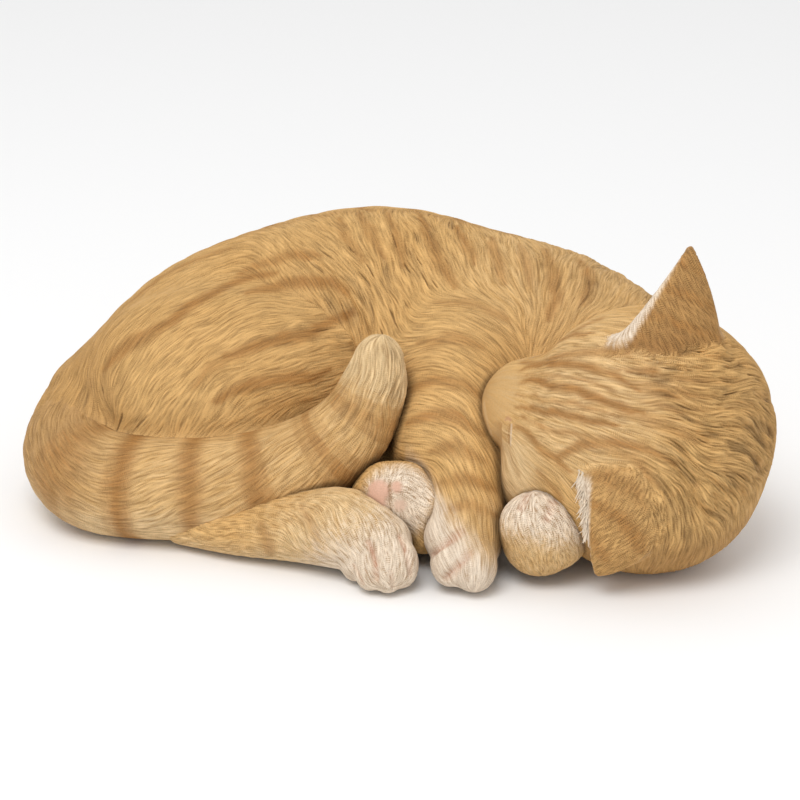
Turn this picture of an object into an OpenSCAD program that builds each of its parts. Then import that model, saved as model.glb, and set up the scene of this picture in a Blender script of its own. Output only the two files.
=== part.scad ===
// Sleeping curled cat statue, cast in separate hollow and solid pours that are
// glued along the creases and closed from below. Millimetres, Z up, resting on z = 0.
// +X is the head's end, -Y is the side the tail and the paws are on.

/* [Castings] */
// Wall of the hollow body casting
body_wall = 7; // [5:0.5:10]
// Wall of the hollow head casting
head_wall = 6.5; // [5:0.5:10]
// Glue line left between two castings
glue = 0.25; // [0.15:0.05:0.5]
// Radius of the pegs that locate the small castings
peg_r = 4; // [3:0.5:6]
// Radius of the spigot that joins head and body
spigot_r = 17; // [14:0.5:20]

/* [Ears] */
// Height of the standing ear above its root
ear_height = 44; // [36:1:50]
// Half width of the standing ear at its root
ear_half_width = 26; // [20:1:28]
// Length of the hanging ear
low_ear_length = 44; // [34:1:46]

/* [Base] */
// Thickness of the closing plate
plate_t = 4; // [3:0.5:6]
// Gap round the closing plate
plate_gap = 0.3; // [0.2:0.05:0.6]
// Thickness of the felt under the plate
felt_t = 1; // [0.8:0.1:2]
// Radius of the vent hole in the plate
vent_r = 8; // [6:0.5:10]
// Running clearance of the stopper in the vent hole
plug_clear = 0.05; // [0.02:0.01:0.1]
// Length of the stopper above the plate
plug_len = 6; // [4:0.5:10]

/* [Facets] */
// Segments round the body casting
body_seg = 40; // [28:2:64]
// Segments round the head casting
head_seg = 32; // [24:2:48]
// Segments round limbs and tail
limb_seg = 16; // [12:2:32]

/* [Hidden] */
place = [4.06, -0.48, 0];
big = 500;
coat = [0.80, 0.62, 0.38];
coat_light = [0.86, 0.72, 0.52];
coat_cream = [0.92, 0.84, 0.74];

// Tail: x, y, z, radius from the rump round to the tip
tail_pts = [[-106, 36, 44, 30], [-128, 16, 36, 26], [-138, -8, 26, 23.5], [-127, -30, 22, 22],
            [-96, -39, 22, 21.5], [-64, -43, 26, 21], [-38, -44, 36, 19.5], [-20, -43, 51, 16.5],
            [-11, -40, 68, 13.5], [-9, -38, 79, 10.5]];
// Spine of the torso, rump to neck
torso_pts = [[-104, 24, 40, 35], [-84, 38, 49, 44.5], [-52, 48, 54.5, 51], [-10, 54, 57.5, 55.5],
             [30, 50, 53, 52], [64, 36, 51, 48.5], [92, 12, 48, 42]];
// Lower flank where the body spreads on the ground
flank_pts = [[-106, 24, 14, 31], [-60, 46, 14, 48], [-6, 52, 14, 54], [50, 42, 14, 50], [90, 14, 14, 40]];
// Near foreleg, shoulder to wrist
foreleg_pts = [[20, -8, 66, 23], [21.5, -28, 54, 21.5], [25, -50, 36, 17.6], [27, -72, 20, 15.8]];
// Near hind foot, hock to ankle
hind_pts = [[-90, -48, 10, 9], [-66, -58, 12, 11], [-42, -64, 16, 14.6], [-22, -72, 18.4, 16.6], [-8.5, -79, 15, 13.4]];

// ---- blended forms: signed distance of a point to the sculpted shape ----
function blend(a, b, k) = let (h = max(k - abs(a - b), 0) / k) min(a, b) - h * h * k / 4;
function egg(p, c, r) =
    let (q = p - c,
         a = norm([q.x / r.x, q.y / r.y, q.z / r.z]),
         b = norm([q.x / r.x / r.x, q.y / r.y / r.y, q.z / r.z / r.z]))
    a * (a - 1) / max(b, 1e-6);
function xyz(a) = [a.x, a.y, a.z];
function rod(p, a, b) =
    let (ab = xyz(b) - xyz(a), q = p - xyz(a),
         h = max(0, min(1, (q * ab) / (ab * ab))))
    norm(q - h * ab) - (a[3] + h * (b[3] - a[3]));
function chain_d(p, s) = min([for (i = [0 : len(s) - 2]) rod(p, s[i], s[i + 1])]);
// A smooth curve through the listed points, n steps to each span
function curve(s, n) =
    let (m = len(s) - 1)
    [for (i = [0 : m - 1], j = [0 : n - 1])
        let (t = j / n, a = s[max(i - 1, 0)], b = s[i], c = s[i + 1], d = s[min(i + 2, m)])
        0.5 * (2 * b + (c - a) * t + (2 * a - 5 * b + 4 * c - d) * t * t + (3 * b - a - 3 * c + d) * t * t * t),
     s[m]];

torso_c = curve(torso_pts, 2);
// Root of the tail where it leaves the rump
root_c = [[-106, 36, 44, 29], [-120, 23, 39, 24.5]];

function body_d(p) =
    let (a = chain_d(p, torso_c),
         b = blend(a, chain_d(p, flank_pts), 14),
         c = blend(b, egg(p, [-76, 8, 48], [64, 42, 46]), 6),
         d = blend(c, egg(p, [26, 4, 50], [38, 36, 38]), 20),
         e = blend(d, egg(p, [50, -28, 24], [30, 30, 26]), 14),
         f = blend(e, egg(p, [104, -22, 46], [36, 34, 40]), 14))
    blend(f, chain_d(p, root_c), 16);
function head_d(p) =
    let (a = egg(p, [101, -58, 55], [52, 48, 53]),
         b = blend(a, egg(p, [101, -58, 30], [41, 42, 31]), 12),
         c = blend(b, egg(p, [55.2, -43.4, 59.4], [22, 21, 22]), 8),
         d = blend(c, egg(p, [70, -62, 48], [22, 20, 20]), 12))
    blend(d, egg(p, [60, -62, 36], [18.5, 17, 20]), 8);
function form_d(which, p) = which == "head" ? head_d(p) : body_d(p);

// Distance from the centre along a direction to where the form is offset by off
function reach(which, c, dir, off, t, n) =
    n == 0 ? t : reach(which, c, dir, off, t - 0.9 * (form_d(which, c + t * dir) - off), n - 1);

// Closed skin of a form seen from an inner centre point
module skin(which, c, off, seg, far) {
    rings = round(seg * 0.55);
    pts = concat(
        [c + [0, 0, reach(which, c, [0, 0, 1], off, far, 14)]],
        [for (i = [1 : rings - 1], j = [0 : seg - 1])
            let (la = 90 - 180 * i / rings, lo = 360 * (j + (i % 2) / 2) / seg,
                 dir = [cos(la) * cos(lo), cos(la) * sin(lo), sin(la)])
            c + reach(which, c, dir, off, far, 14) * dir],
        [c - [0, 0, reach(which, c, [0, 0, -1], off, far, 14)]]);
    last = len(pts) - 1;
    faces = concat(
        [for (j = [0 : seg - 1]) [0, 1 + (j + 1) % seg, 1 + j]],
        [for (i = [1 : rings - 2], j = [0 : seg - 1])
            let (a = 1 + (i - 1) * seg, b = 1 + i * seg, odd = i % 2, k = (j + 1) % seg)
            odd == 0 ? [a + j, a + k, b + j] : [a + j, b + k, b + j]],
        [for (i = [1 : rings - 2], j = [0 : seg - 1])
            let (a = 1 + (i - 1) * seg, b = 1 + i * seg, odd = i % 2, k = (j + 1) % seg)
            odd == 0 ? [a + k, b + k, b + j] : [a + j, a + k, b + k]],
        [for (j = [0 : seg - 1]) [last, 1 + (rings - 2) * seg + j, 1 + (rings - 2) * seg + (j + 1) % seg]]);
    polyhedron(points = pts, faces = faces, convexity = 6);
}
module body_form(off = 0, seg = body_seg) skin("body", [-6, 26, 40], off, seg, 190);
module head_form(off = 0, seg = head_seg) skin("head", [98, -57, 48], off, seg, 95);

// ---- limbs ----
module limb(s, n, grow) {
    c = curve(s, n);
    for (i = [0 : len(c) - 2]) hull() {
        translate(xyz(c[i])) sphere(r = c[i][3] + grow, $fn = limb_seg);
        translate(xyz(c[i + 1])) sphere(r = c[i + 1][3] + grow, $fn = limb_seg);
    }
}
module toe(a, b, r, grow) {
    hull() {
        translate(a) sphere(r = r + grow, $fn = limb_seg);
        translate(b) sphere(r = r * 0.86 + grow, $fn = limb_seg);
    }
}
module peg(a, b, r, grow) {
    hull() {
        translate(a) sphere(r = r + grow, $fn = 14);
        translate(b) sphere(r = r + grow, $fn = 14);
    }
}
module above(z) translate([-big, -big, z]) cube([2 * big, 2 * big, big]);

module tail_form(grow = 0)
    limb([for (i = [1 : len(tail_pts) - 1]) tail_pts[i]], 2, grow);
module foreleg_form(grow = 0) {
    limb(foreleg_pts, 2, grow);
    // belly behind the leg, and the fold that closes the casting up to the tail
    peg([10, -38, 35], [10, -38, 49], 13.5, grow);
    hull() for (q = [[-22, -12], [0, -20], [8, -28]], z = [14, 42])
        translate([q.x, q.y, z]) sphere(r = 14 + grow, $fn = limb_seg);
    hull() {
        translate([26.5, -78, 16]) sphere(r = 14.5 + grow, $fn = limb_seg);
        translate([26.5, -82, 15]) sphere(r = 13.5 + grow, $fn = limb_seg);
    }
    toe([17.8, -79, 18.4], [17.8, -82, 18], 9, grow);
    toe([20.4, -86, 13], [20.4, -91, 12], 9, grow);
    toe([29.8, -87, 13], [29.8, -94, 11.5], 10, grow);
}
module hind_form(grow = 0) {
    limb(hind_pts, 2, grow);
    toe([0, -84, 12], [0.8, -91, 10.8], 8, grow);
    toe([-5, -86, 11], [-5, -94, 9.7], 8.4, grow);
    toe([-12, -84, 10.5], [-12, -92, 9.3], 8, grow);
    toe([-18, -78, 10], [-18.2, -84, 8.9], 7.4, grow);
}
module far_paw_form(grow = 0) {
    hull() for (x = [-5, 1], z = [19.5, 24.5])
        translate([x, -58.5, z]) sphere(r = 16.4 + grow, $fn = limb_seg);
    toe([-7, -60, 32.5], [-7, -64, 33.8], 8, grow);
    toe([3.5, -61, 34], [3.5, -66, 35.2], 7.8, grow);
    toe([11, -64, 26], [11, -69, 26], 8, grow);
    toe([10.2, -64, 15.5], [10.2, -69, 15], 8, grow);
}
module tucked_form(grow = 0) {
    hull() {
        translate([57, -81, 19]) sphere(r = 14.5 + grow, $fn = limb_seg);
        translate([61, -81, 17]) sphere(r = 14.5 + grow, $fn = limb_seg);
        translate([56, -82, 26]) sphere(r = 14 + grow, $fn = limb_seg);
    }
    toe([49, -82, 24], [48, -84, 28], 7.5, grow);
    toe([55, -84, 30], [55, -87, 31], 8, grow);
    toe([62, -84, 27], [63, -87, 28], 7.5, grow);
    toe([67, -83, 20], [68, -85, 20], 7, grow);
}

// ---- ears: curved leaves with a root that goes through the head's wall ----
function unit(v) = v / norm(v);
module leaf(base, tip, side, half_w, curl, t0, t1, root, grow) {
    h = norm(tip - base);
    a = unit(tip - base);
    s = unit(side - a * (side * a));
    n = cross(a, s);
    nu = 9;
    nv = 8;
    function rim(u) = half_w * pow(max(1 - u, 0.012), 0.8) * (u < 0 ? 1 + 0.9 * u : 1) + grow;
    function spot(i, j, f) =
        let (u = -root / h + (1 + root / h) * i / nu, v = -1 + 2 * j / nv,
             e = sqrt(max(1 - v * v * v * v, 0)),
             w = rim(u) * v,
             th = (t0 + (t1 - t0) * max(0, u)) / 2 + grow)
        base + a * (u * h + (i == nu ? grow : i == 0 ? -grow : 0)) + s * w
             + n * (f * th * (0.25 + 0.75 * e) - curl * pow(w / half_w, 2));
    m = nv + 1;
    k = (nu + 1) * m;
    pts = concat([for (i = [0 : nu], j = [0 : nv]) spot(i, j, 1)],
                 [for (i = [0 : nu], j = [0 : nv]) spot(i, j, -1)]);
    faces = concat(
        [for (i = [0 : nu - 1], j = [0 : nv - 1]) [i * m + j, (i + 1) * m + j + 1, (i + 1) * m + j]],
        [for (i = [0 : nu - 1], j = [0 : nv - 1]) [i * m + j, i * m + j + 1, (i + 1) * m + j + 1]],
        [for (i = [0 : nu - 1], j = [0 : nv - 1]) [k + i * m + j, k + (i + 1) * m + j, k + (i + 1) * m + j + 1]],
        [for (i = [0 : nu - 1], j = [0 : nv - 1]) [k + i * m + j, k + (i + 1) * m + j + 1, k + i * m + j + 1]],
        [for (i = [0 : nu - 1]) [i * m, k + (i + 1) * m, k + i * m]],
        [for (i = [0 : nu - 1]) [i * m, (i + 1) * m, k + (i + 1) * m]],
        [for (i = [0 : nu - 1]) [i * m + nv, k + i * m + nv, k + (i + 1) * m + nv]],
        [for (i = [0 : nu - 1]) [i * m + nv, k + (i + 1) * m + nv, (i + 1) * m + nv]],
        [for (j = [0 : nv - 1]) [j, k + j + 1, j + 1]],
        [for (j = [0 : nv - 1]) [j, k + j, k + j + 1]],
        [for (j = [0 : nv - 1]) [nu * m + j, nu * m + j + 1, k + nu * m + j + 1]],
        [for (j = [0 : nv - 1]) [nu * m + j, k + nu * m + j + 1, k + nu * m + j]]);
    polyhedron(points = pts, faces = faces, convexity = 4);
}
module upper_ear_form(grow = 0)
    leaf([110.7, -78.8, 96.5], [110.7, -78.8, 96.5] + ear_height * unit([4.5, 18, 42.3]), [-0.935, -0.342, 0.095],
         ear_half_width, 12, 8, 3, 14, grow);
module lower_ear_form(grow = 0)
    leaf([91.3, -102.8, 51.5], [91.3, -102.8, 51.5] + low_ear_length * unit([-12.9, 6.8, -42.5]), [0.97, -0.05, -0.2],
         18, 5, 8, 3, 9, grow);

// ---- pegs ----
module tail_peg(grow = 0) peg([-118, 21, 38], [-92, 35, 43], peg_r + 2, grow);
module hind_peg(grow = 0) peg([-40, -62, 19], [-47, -46, 29], peg_r, grow);
module far_peg(grow = 0) peg([6, -59, 22], [26, -46, 30], peg_r, grow);
module tucked_peg(grow = 0) peg([60, -80, 22], [82, -64, 36], peg_r, grow);

// ---- closing plate outline: inset from the lower flank ----
function flat_d(q, inset) =
    min([for (i = [0 : len(flank_pts) - 2])
        let (a = flank_pts[i], b = flank_pts[i + 1], ab = [b.x - a.x, b.y - a.y], v = q - [a.x, a.y],
             h = max(0, min(1, (v * ab) / (ab * ab))))
        norm(v - h * ab) - (a[3] + h * (b[3] - a[3]) - inset)]);
function flat_reach(c, dir, inset, t, n) =
    n == 0 ? t : flat_reach(c, dir, inset, t - flat_d(c + t * dir, inset), n - 1);
plate_c = [-6, 40];
function outline(inset) =
    [for (i = [0 : 59]) let (w = 6 * i, dir = [cos(w), sin(w)]) plate_c + flat_reach(plate_c, dir, inset, 200, 20) * dir];
vent_at = [-6, 44];

// ---- castings ----
module body_shell() color(coat) intersection() {
    difference() {
        union() {
            body_form(0);
            foreleg_form(0);
        }
        // hollow, kept clear of the seats of the other castings
        difference() {
            body_form(-body_wall, 28);
            head_form(body_wall, 20);
            tail_form(body_wall);
            translate([-big, -big, -big]) cube([2 * big, 2 * big, big + felt_t + plate_t]);
        }
        // rebate for felt and plate, and the throat above its ledge
        translate([0, 0, -1]) linear_extrude(felt_t + plate_t + 1) polygon(outline(6 - plate_gap));
        translate([0, 0, felt_t]) linear_extrude(plate_t + 5) polygon(outline(9));
        head_form(glue);
        tail_form(glue);
        hind_form(glue);
        far_paw_form(glue);
        tucked_form(glue);
        tail_peg(glue);
        far_peg(glue);
        neck_spigot(glue);
    }
    above(0);
}
module neck_spigot(grow = 0) hull() {
    translate([98, -34, 46]) rotate([-90, 0, 0]) cylinder(r = spigot_r + grow, h = 1, $fn = 32);
    translate([98, 5, 46]) rotate([-90, 0, 0]) cylinder(r = spigot_r - 1 + grow, h = 1, $fn = 32);
}
module neck_bore() hull() {
    translate([98, -44, 46]) rotate([-90, 0, 0]) cylinder(r = spigot_r - 6, h = 1, $fn = 24);
    translate([98, 9, 46]) rotate([-90, 0, 0]) cylinder(r = spigot_r - 6, h = 1, $fn = 24);
}
module head_shell() color(coat) intersection() {
    difference() {
        union() {
            head_form(0);
            neck_spigot(0);
        }
        difference() {
            head_form(-head_wall, 22);
            tucked_form(head_wall - 2);
        }
        neck_bore();
        upper_ear_form(glue);
        lower_ear_form(glue);
        tucked_form(glue);
        tucked_peg(glue);
    }
    above(0);
}
module upper_ear() color(coat_light) upper_ear_form(0);
module lower_ear() color(coat_light) lower_ear_form(0);
module tail() color(coat_light) intersection() {
    difference() {
        union() {
            tail_form(0);
            tail_peg(0);
        }
        hind_peg(glue);
    }
    above(0);
}
module near_hind_leg() color(coat_cream) intersection() {
    union() {
        difference() {
            hind_form(0);
            tail_form(glue);
        }
        hind_peg(0);
    }
    above(0);
}
module far_hind_paw() color(coat_cream) intersection() {
    union() {
        difference() {
            far_paw_form(0);
            tail_form(glue);
            hind_form(glue);
        }
        far_peg(0);
    }
    above(0);
}
module tucked_forepaw() color(coat_cream) intersection() {
    union() {
        tucked_form(0);
        tucked_peg(0);
        peg([57, -82, 18], [60, -82, 24], 12, 0);
        peg([60, -82, 18], [57, -82, 26], 12, 0);
    }
    above(0);
}
module base_plate() color([0.45, 0.40, 0.34]) translate([0, 0, felt_t]) difference() {
    linear_extrude(plate_t) polygon(outline(6));
    translate([vent_at.x, vent_at.y, -1]) cylinder(r = vent_r, h = plate_t + 2, $fn = 64);
}
module vent_plug() color([0.16, 0.16, 0.16]) translate([vent_at.x, vent_at.y, 0])
    rotate_extrude($fn = 64) polygon([
        [0, 0.2], [vent_r + 0.8, 0.2], [vent_r + 1.2, 0.5], [vent_r + 1.2, felt_t - 0.02],
        [vent_r - plug_clear, felt_t - 0.02], [vent_r - plug_clear, felt_t + plate_t],
        [vent_r - 1.5, felt_t + plate_t + plug_len - 1], [vent_r - 2.5, felt_t + plate_t + plug_len],
        [0, felt_t + plate_t + plug_len]]);
module base_felt() color([0.25, 0.33, 0.26]) difference() {
    linear_extrude(felt_t) polygon(outline(6.8));
    translate([vent_at.x, vent_at.y, -1]) cylinder(r = vent_r + 2, h = felt_t + 2, $fn = 64);
}

translate(place) body_shell();
translate(place) head_shell();
translate(place) upper_ear();
translate(place) lower_ear();
translate(place) tail();
translate(place) near_hind_leg();
translate(place) far_hind_paw();
translate(place) tucked_forepaw();
translate(place) base_plate();
translate(place) vent_plug();
translate(place) base_felt();
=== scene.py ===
"""Sleeping curled cat statue: sculpted fur castings, painted as a tabby, on a pale studio floor.

The forms are worked in millimetres in the sculpting frame and moved by PLACE into the part's frame.
X runs towards the head's end, -Y is the side with the tail and the paws, Z is up.
"""

import bpy
import math
import numpy as np
from concurrent.futures import ThreadPoolExecutor
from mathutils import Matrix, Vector


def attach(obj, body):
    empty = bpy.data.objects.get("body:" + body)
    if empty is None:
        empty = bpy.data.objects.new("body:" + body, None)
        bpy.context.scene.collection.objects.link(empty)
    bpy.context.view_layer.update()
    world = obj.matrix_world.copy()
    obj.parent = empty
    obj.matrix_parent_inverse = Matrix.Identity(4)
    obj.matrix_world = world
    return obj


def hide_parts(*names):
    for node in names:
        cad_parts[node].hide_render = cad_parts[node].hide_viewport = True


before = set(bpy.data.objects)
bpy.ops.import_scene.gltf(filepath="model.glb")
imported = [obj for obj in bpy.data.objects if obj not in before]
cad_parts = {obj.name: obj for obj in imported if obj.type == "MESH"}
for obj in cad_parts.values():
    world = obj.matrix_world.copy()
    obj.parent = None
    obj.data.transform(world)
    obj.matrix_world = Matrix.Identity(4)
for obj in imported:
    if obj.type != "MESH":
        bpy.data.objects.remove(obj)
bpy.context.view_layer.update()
PLACE = np.array([4.06, -0.48, 0.0])
F32 = np.float32

# ------------------------------------------------------------------ camera, shared by the strokes below
ELEV, DIST, FOCAL = math.radians(22.0), 1200.0, 2796.0
TARGET = np.array([0.0, 0.0, 46.3])
BACK = np.array([0.0, -math.cos(ELEV), math.sin(ELEV)])
EYE = TARGET + DIST * BACK
RIGHT = np.array([1.0, 0.0, 0.0])
UP = np.cross(RIGHT, -BACK)


def pixel_rays(px):
    px = np.asarray(px, float).reshape(-1, 2)
    d = -BACK + ((px[:, :1] - 400.0) / FOCAL) * RIGHT + ((400.0 - px[:, 1:]) / FOCAL) * UP
    return d / np.linalg.norm(d, axis=1, keepdims=True)


def cols(p):
    return np.ascontiguousarray(np.asarray(p, F32).T)


def unit(v):
    v = np.array(v, float)
    return v / np.linalg.norm(v)


def rows_unit(v):
    return v / (np.sqrt(np.einsum("ij,ij->i", v, v))[:, None] + 1e-7)


# ------------------------------------------------------------------ forms: signed distances of columns of points
def rot(rx, ry, rz):
    a, b, c = np.radians([rx, ry, rz])
    x = np.array([[1, 0, 0], [0, math.cos(a), -math.sin(a)], [0, math.sin(a), math.cos(a)]])
    y = np.array([[math.cos(b), 0, math.sin(b)], [0, 1, 0], [-math.sin(b), 0, math.cos(b)]])
    z = np.array([[math.cos(c), -math.sin(c), 0], [math.sin(c), math.cos(c), 0], [0, 0, 1]])
    return z @ y @ x


def egg(P, c, r, m=None):
    x, y, z = P[0] - F32(c[0]), P[1] - F32(c[1]), P[2] - F32(c[2])
    if m is not None:
        m = m.astype(F32)
        x, y, z = (x * m[0, k] + y * m[1, k] + z * m[2, k] for k in range(3))
    x, y, z = x * F32(1 / r[0]), y * F32(1 / r[1]), z * F32(1 / r[2])
    a = np.sqrt(x * x + y * y + z * z)
    x, y, z = x * F32(1 / r[0]), y * F32(1 / r[1]), z * F32(1 / r[2])
    return a * (a - 1) / (np.sqrt(x * x + y * y + z * z) + F32(1e-6))


def curve(s, n):
    s = np.array(s, float)
    m = len(s) - 1
    out = []
    for i in range(m):
        a, b, c, d = s[max(i - 1, 0)], s[i], s[i + 1], s[min(i + 2, m)]
        for j in range(n):
            t = j / n
            out.append(0.5 * (2 * b + (c - a) * t + (2 * a - 5 * b + 4 * c - d) * t * t + (3 * b - a - 3 * c + d) * t ** 3))
    out.append(s[m])
    return np.array(out)


def segment(P, a, b):
    """Distance to a segment and the share along it."""
    d = [float(b[k] - a[k]) for k in range(3)]
    inv = 1.0 / max(d[0] ** 2 + d[1] ** 2 + d[2] ** 2, 1e-9)
    x, y, z = P[0] - F32(a[0]), P[1] - F32(a[1]), P[2] - F32(a[2])
    t = x * F32(d[0] * inv)
    t += y * F32(d[1] * inv)
    t += z * F32(d[2] * inv)
    np.clip(t, 0, 1, out=t)
    x -= t * F32(d[0])
    y -= t * F32(d[1])
    z -= t * F32(d[2])
    return np.sqrt(x * x + y * y + z * z), t


def chain(P, s):
    best = None
    for a, b in zip(s[:-1], s[1:]):
        d, t = segment(P, a, b)
        d -= F32(a[3])
        d -= t * F32(b[3] - a[3])
        best = d if best is None else np.minimum(best, d, out=best)
    return best


def along(P, s):
    """Arc length of the nearest point of a curve, and the curve's direction there."""
    n = P.shape[1]
    best, pos, tan = np.full(n, 1e9, F32), np.zeros(n, F32), np.zeros((n, 3), F32)
    run = 0.0
    for a, b in zip(s[:-1], s[1:]):
        d, t = segment(P, a, b)
        d -= F32(a[3])
        d -= t * F32(b[3] - a[3])
        ln = float(np.linalg.norm(b[:3] - a[:3]))
        m = d < best
        best[m] = d[m]
        pos[m] = run + t[m] * F32(ln)
        tan[m] = (b[:3] - a[:3]) / max(ln, 1e-9)
        run += ln
    return pos, tan, run


def smin(a, b, k):
    h = np.maximum(F32(k) - np.abs(a - b), 0)
    h *= h
    h *= F32(0.25 / k)
    return np.minimum(a, b) - h


def smax(a, b, k):
    return -smin(-a, -b, k)


TAIL_PTS = [(-106, 36, 44, 30), (-128, 16, 36, 26), (-138, -8, 26, 23.5), (-127, -30, 22, 22), (-96, -39, 22, 21.5),
            (-64, -43, 26, 21), (-38, -44, 36, 19.5), (-20, -43, 51, 16.5), (-11, -40, 68, 13.5), (-9, -38, 79, 10.5)]
TAIL = curve(TAIL_PTS[1:], 5)
TORSO = curve([(-104, 24, 40, 35), (-84, 38, 49, 44.5), (-52, 48, 54.5, 51), (-10, 54, 57.5, 55.5), (30, 50, 53, 52),
               (64, 36, 51, 48.5), (92, 12, 48, 42)], 4)
FLANK_PTS = [(-106, 24, 14, 31), (-60, 46, 14, 48), (-6, 52, 14, 54), (50, 42, 14, 50), (90, 14, 14, 40)]
FLANK = curve(FLANK_PTS, 3)
ROOT = np.array([(-106, 36, 44, 30.5), (-128, 16, 36, 26.7), (-134.5, 3, 30.5, 23.4)], float)
FORELEG = curve([(20, -8, 66, 23), (21.5, -28, 54, 21.5), (25, -50, 36, 17.6), (27, -72, 20, 15.8)], 4)
HIND = curve([(-90, -48, 10, 9), (-66, -58, 12, 11), (-42, -64, 16, 14.6), (-22, -72, 18.4, 16.6), (-8.5, -79, 15, 13.4)], 4)
VENT_AT = (-6.0, 44.0)


def f_torso(P):
    d = chain(P, TORSO)
    d = smin(d, chain(P, FLANK), 14)
    d = smin(d, egg(P, (26, 4, 50), (38, 36, 38)), 20)
    d = smin(d, egg(P, (50, -28, 24), (30, 30, 26)), 14)
    d = smin(d, egg(P, (104, -22, 46), (36, 34, 40)), 14)
    d = smin(d, egg(P, (-76, 8, 48), (64, 42, 46)), 6)
    return smin(d, chain(P, ROOT), 9)


def f_foreleg(P):
    d = smin(chain(P, FORELEG), egg(P, (26.5, -80, 16), (14, 14.5, 15)), 5)
    d = smin(d, egg(P, (10, -38, 42), (13.5, 17, 21)), 8)
    for c, r, k in (((17.8, -80.5, 18.4), (8.0, 10, 9.4), 2.2), ((20.4, -90, 12.2), (8.2, 9.8, 10), 2.2), ((29.8, -91.5, 11.5), (9.4, 11.5, 11), 3.0)):
        d = smin(d, egg(P, c, r), k)
    return d


def trace(field, px):
    """Points where the rays of photo pixels meet a form; rays that miss give nan."""
    d = pixel_rays(px)
    p = EYE[None] + d * 900.0
    t = np.zeros(len(d))
    v = None
    for _ in range(70):
        v = field(cols(p)).astype(float)
        step = np.clip(v, -4, 40) * 0.85
        p = p + d * step[:, None]
        t += step
    p[(np.abs(v) > 0.6) | (t > 620)] = np.nan
    return p


# the crease where the thigh lies over the flank
CREASE = trace(f_torso, [(288, 250), (308, 259), (326, 274), (343, 294), (355, 314), (362, 334), (361, 352)])
CREASE = np.concatenate([CREASE, np.array([[0.8], [1.8], [2.8], [3.8], [4.2], [3.6], [2.2]])], 1)
CREASE = CREASE[~np.isnan(CREASE[:, 0])]


def flat_d(P, inset):
    best = None
    for a, b in zip(FLANK_PTS[:-1], FLANK_PTS[1:]):
        ax, ay, dx, dy = a[0], a[1], b[0] - a[0], b[1] - a[1]
        x, y = P[0] - F32(ax), P[1] - F32(ay)
        t = np.clip((x * dx + y * dy) / (dx * dx + dy * dy), 0, 1)
        d = np.hypot(x - t * dx, y - t * dy) - (a[3] + t * (b[3] - a[3]) - inset)
        best = d if best is None else np.minimum(best, d)
    return best


def f_body_solid(P):
    d = smin(f_torso(P), f_foreleg(P), 13)
    d = smax(d, -chain(P, CREASE), 3.5)
    d = smin(d, egg(P, (-9, -18, 22), (26, 18, 31)), 11)   # the fold behind the tail is closed
    fold = np.nonzero((P[0] < -24) & (P[1] < 10) & (P[2] > 18) & (d < 14))[0]
    if len(fold):
        Q = P[:, fold]
        near = smax(chain(Q, TAIL) + F32(1.8), np.maximum(d[fold] - 7, Q[0] + F32(30)), 2)
        d[fold] = smin(d[fold], near, 7)
    return np.maximum(d, -P[2])


def f_body(P):
    # the rebate below for plate and felt, and the well over the stopper
    d = f_body_solid(P)
    low = np.nonzero(P[2] < 24)[0]
    if len(low):
        Q = P[:, low]
        pocket = np.maximum(flat_d(Q, 5.7), Q[2] - 5.05)
        well = np.maximum(np.hypot(Q[0] - VENT_AT[0], Q[1] - VENT_AT[1]) - 13, Q[2] - 20)
        d[low] = np.maximum(d[low], -np.minimum(pocket, well)).astype(F32)
    return d


def f_tail(P):
    return np.maximum(chain(P, TAIL), -P[2])


def f_hind(P):
    d = chain(P, HIND)
    for c, r in (((0.8, -89, 10.8), (6.6, 9.2, 10.0)), ((-5.0, -92, 9.7), (6.8, 9.6, 9.5)), ((-12.0, -90, 9.3), (6.6, 9.2, 9.0)), ((-18.2, -82.5, 8.9), (6.0, 7.6, 8.2))):
        d = smin(d, egg(P, c, r), 2.6)
    return np.maximum(d, -P[2])


def f_far_paw(P):
    d = egg(P, (-2, -58.5, 22), (19.6, 16.5, 19.5))
    for c, r in (((-7, -62, 33.5), (7.5, 9, 8)), ((3.5, -63.5, 35), (7.5, 9, 7.5)), ((11.0, -67, 26), (6.8, 9, 10)), ((10.2, -67, 15), (6.8, 9, 9))):
        d = smin(d, egg(P, c, r), 5.0)
    return np.maximum(d, -P[2])


TUCK_M = rot(0, 25, 0)


def f_tucked(P):
    d = egg(P, (58, -82, 21.5), (16.5, 15, 18.5), TUCK_M)
    for c, r in (((48.5, -83.5, 27), (7, 9, 8)), ((55.5, -86, 31), (7.5, 9, 8)), ((63, -86, 27), (7, 9, 8.5)), ((68, -84, 20), (6.5, 9, 8.5))):
        d = smin(d, egg(P, c, r), 6.0)
    return np.maximum(d, -P[2])


MUZZLE = np.array([55.2, -43.4, 59.4])
FACE_F = np.array([-0.893, 0.447, -0.053])   # towards the nose
FACE_L = np.array([0.189, 0.484, 0.854])     # towards the upper ear
FACE_U = np.cross(FACE_L, FACE_F)            # towards the crown
FACE_M = np.stack([FACE_F, FACE_L, FACE_U], 1)


def face(f, l, u):
    return MUZZLE + FACE_M @ np.array([f, l, u])


def f_head_plain(P):
    d = egg(P, (101, -58, 55), (52, 48, 53))
    d = smin(d, egg(P, (101, -58, 30), (41, 42, 31)), 12)
    d = smin(d, egg(P, MUZZLE, (22, 21, 22)), 8)
    d = smin(d, egg(P, (70, -62, 48), (22, 20, 20)), 12)
    return smin(d, egg(P, (60, -62, 36), (18.5, 17, 20)), 8)


def mirrored(q):
    w = (q - MUZZLE) @ FACE_M
    return MUZZLE + (w * np.array([1, -1, 1])) @ FACE_M.T


def onto(field, q, n=8):
    q = np.array(q, float)
    for _ in range(n):
        v, g = gradient(field, q)
        q = q - rows_unit(g) * v[:, None]
    return q


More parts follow.
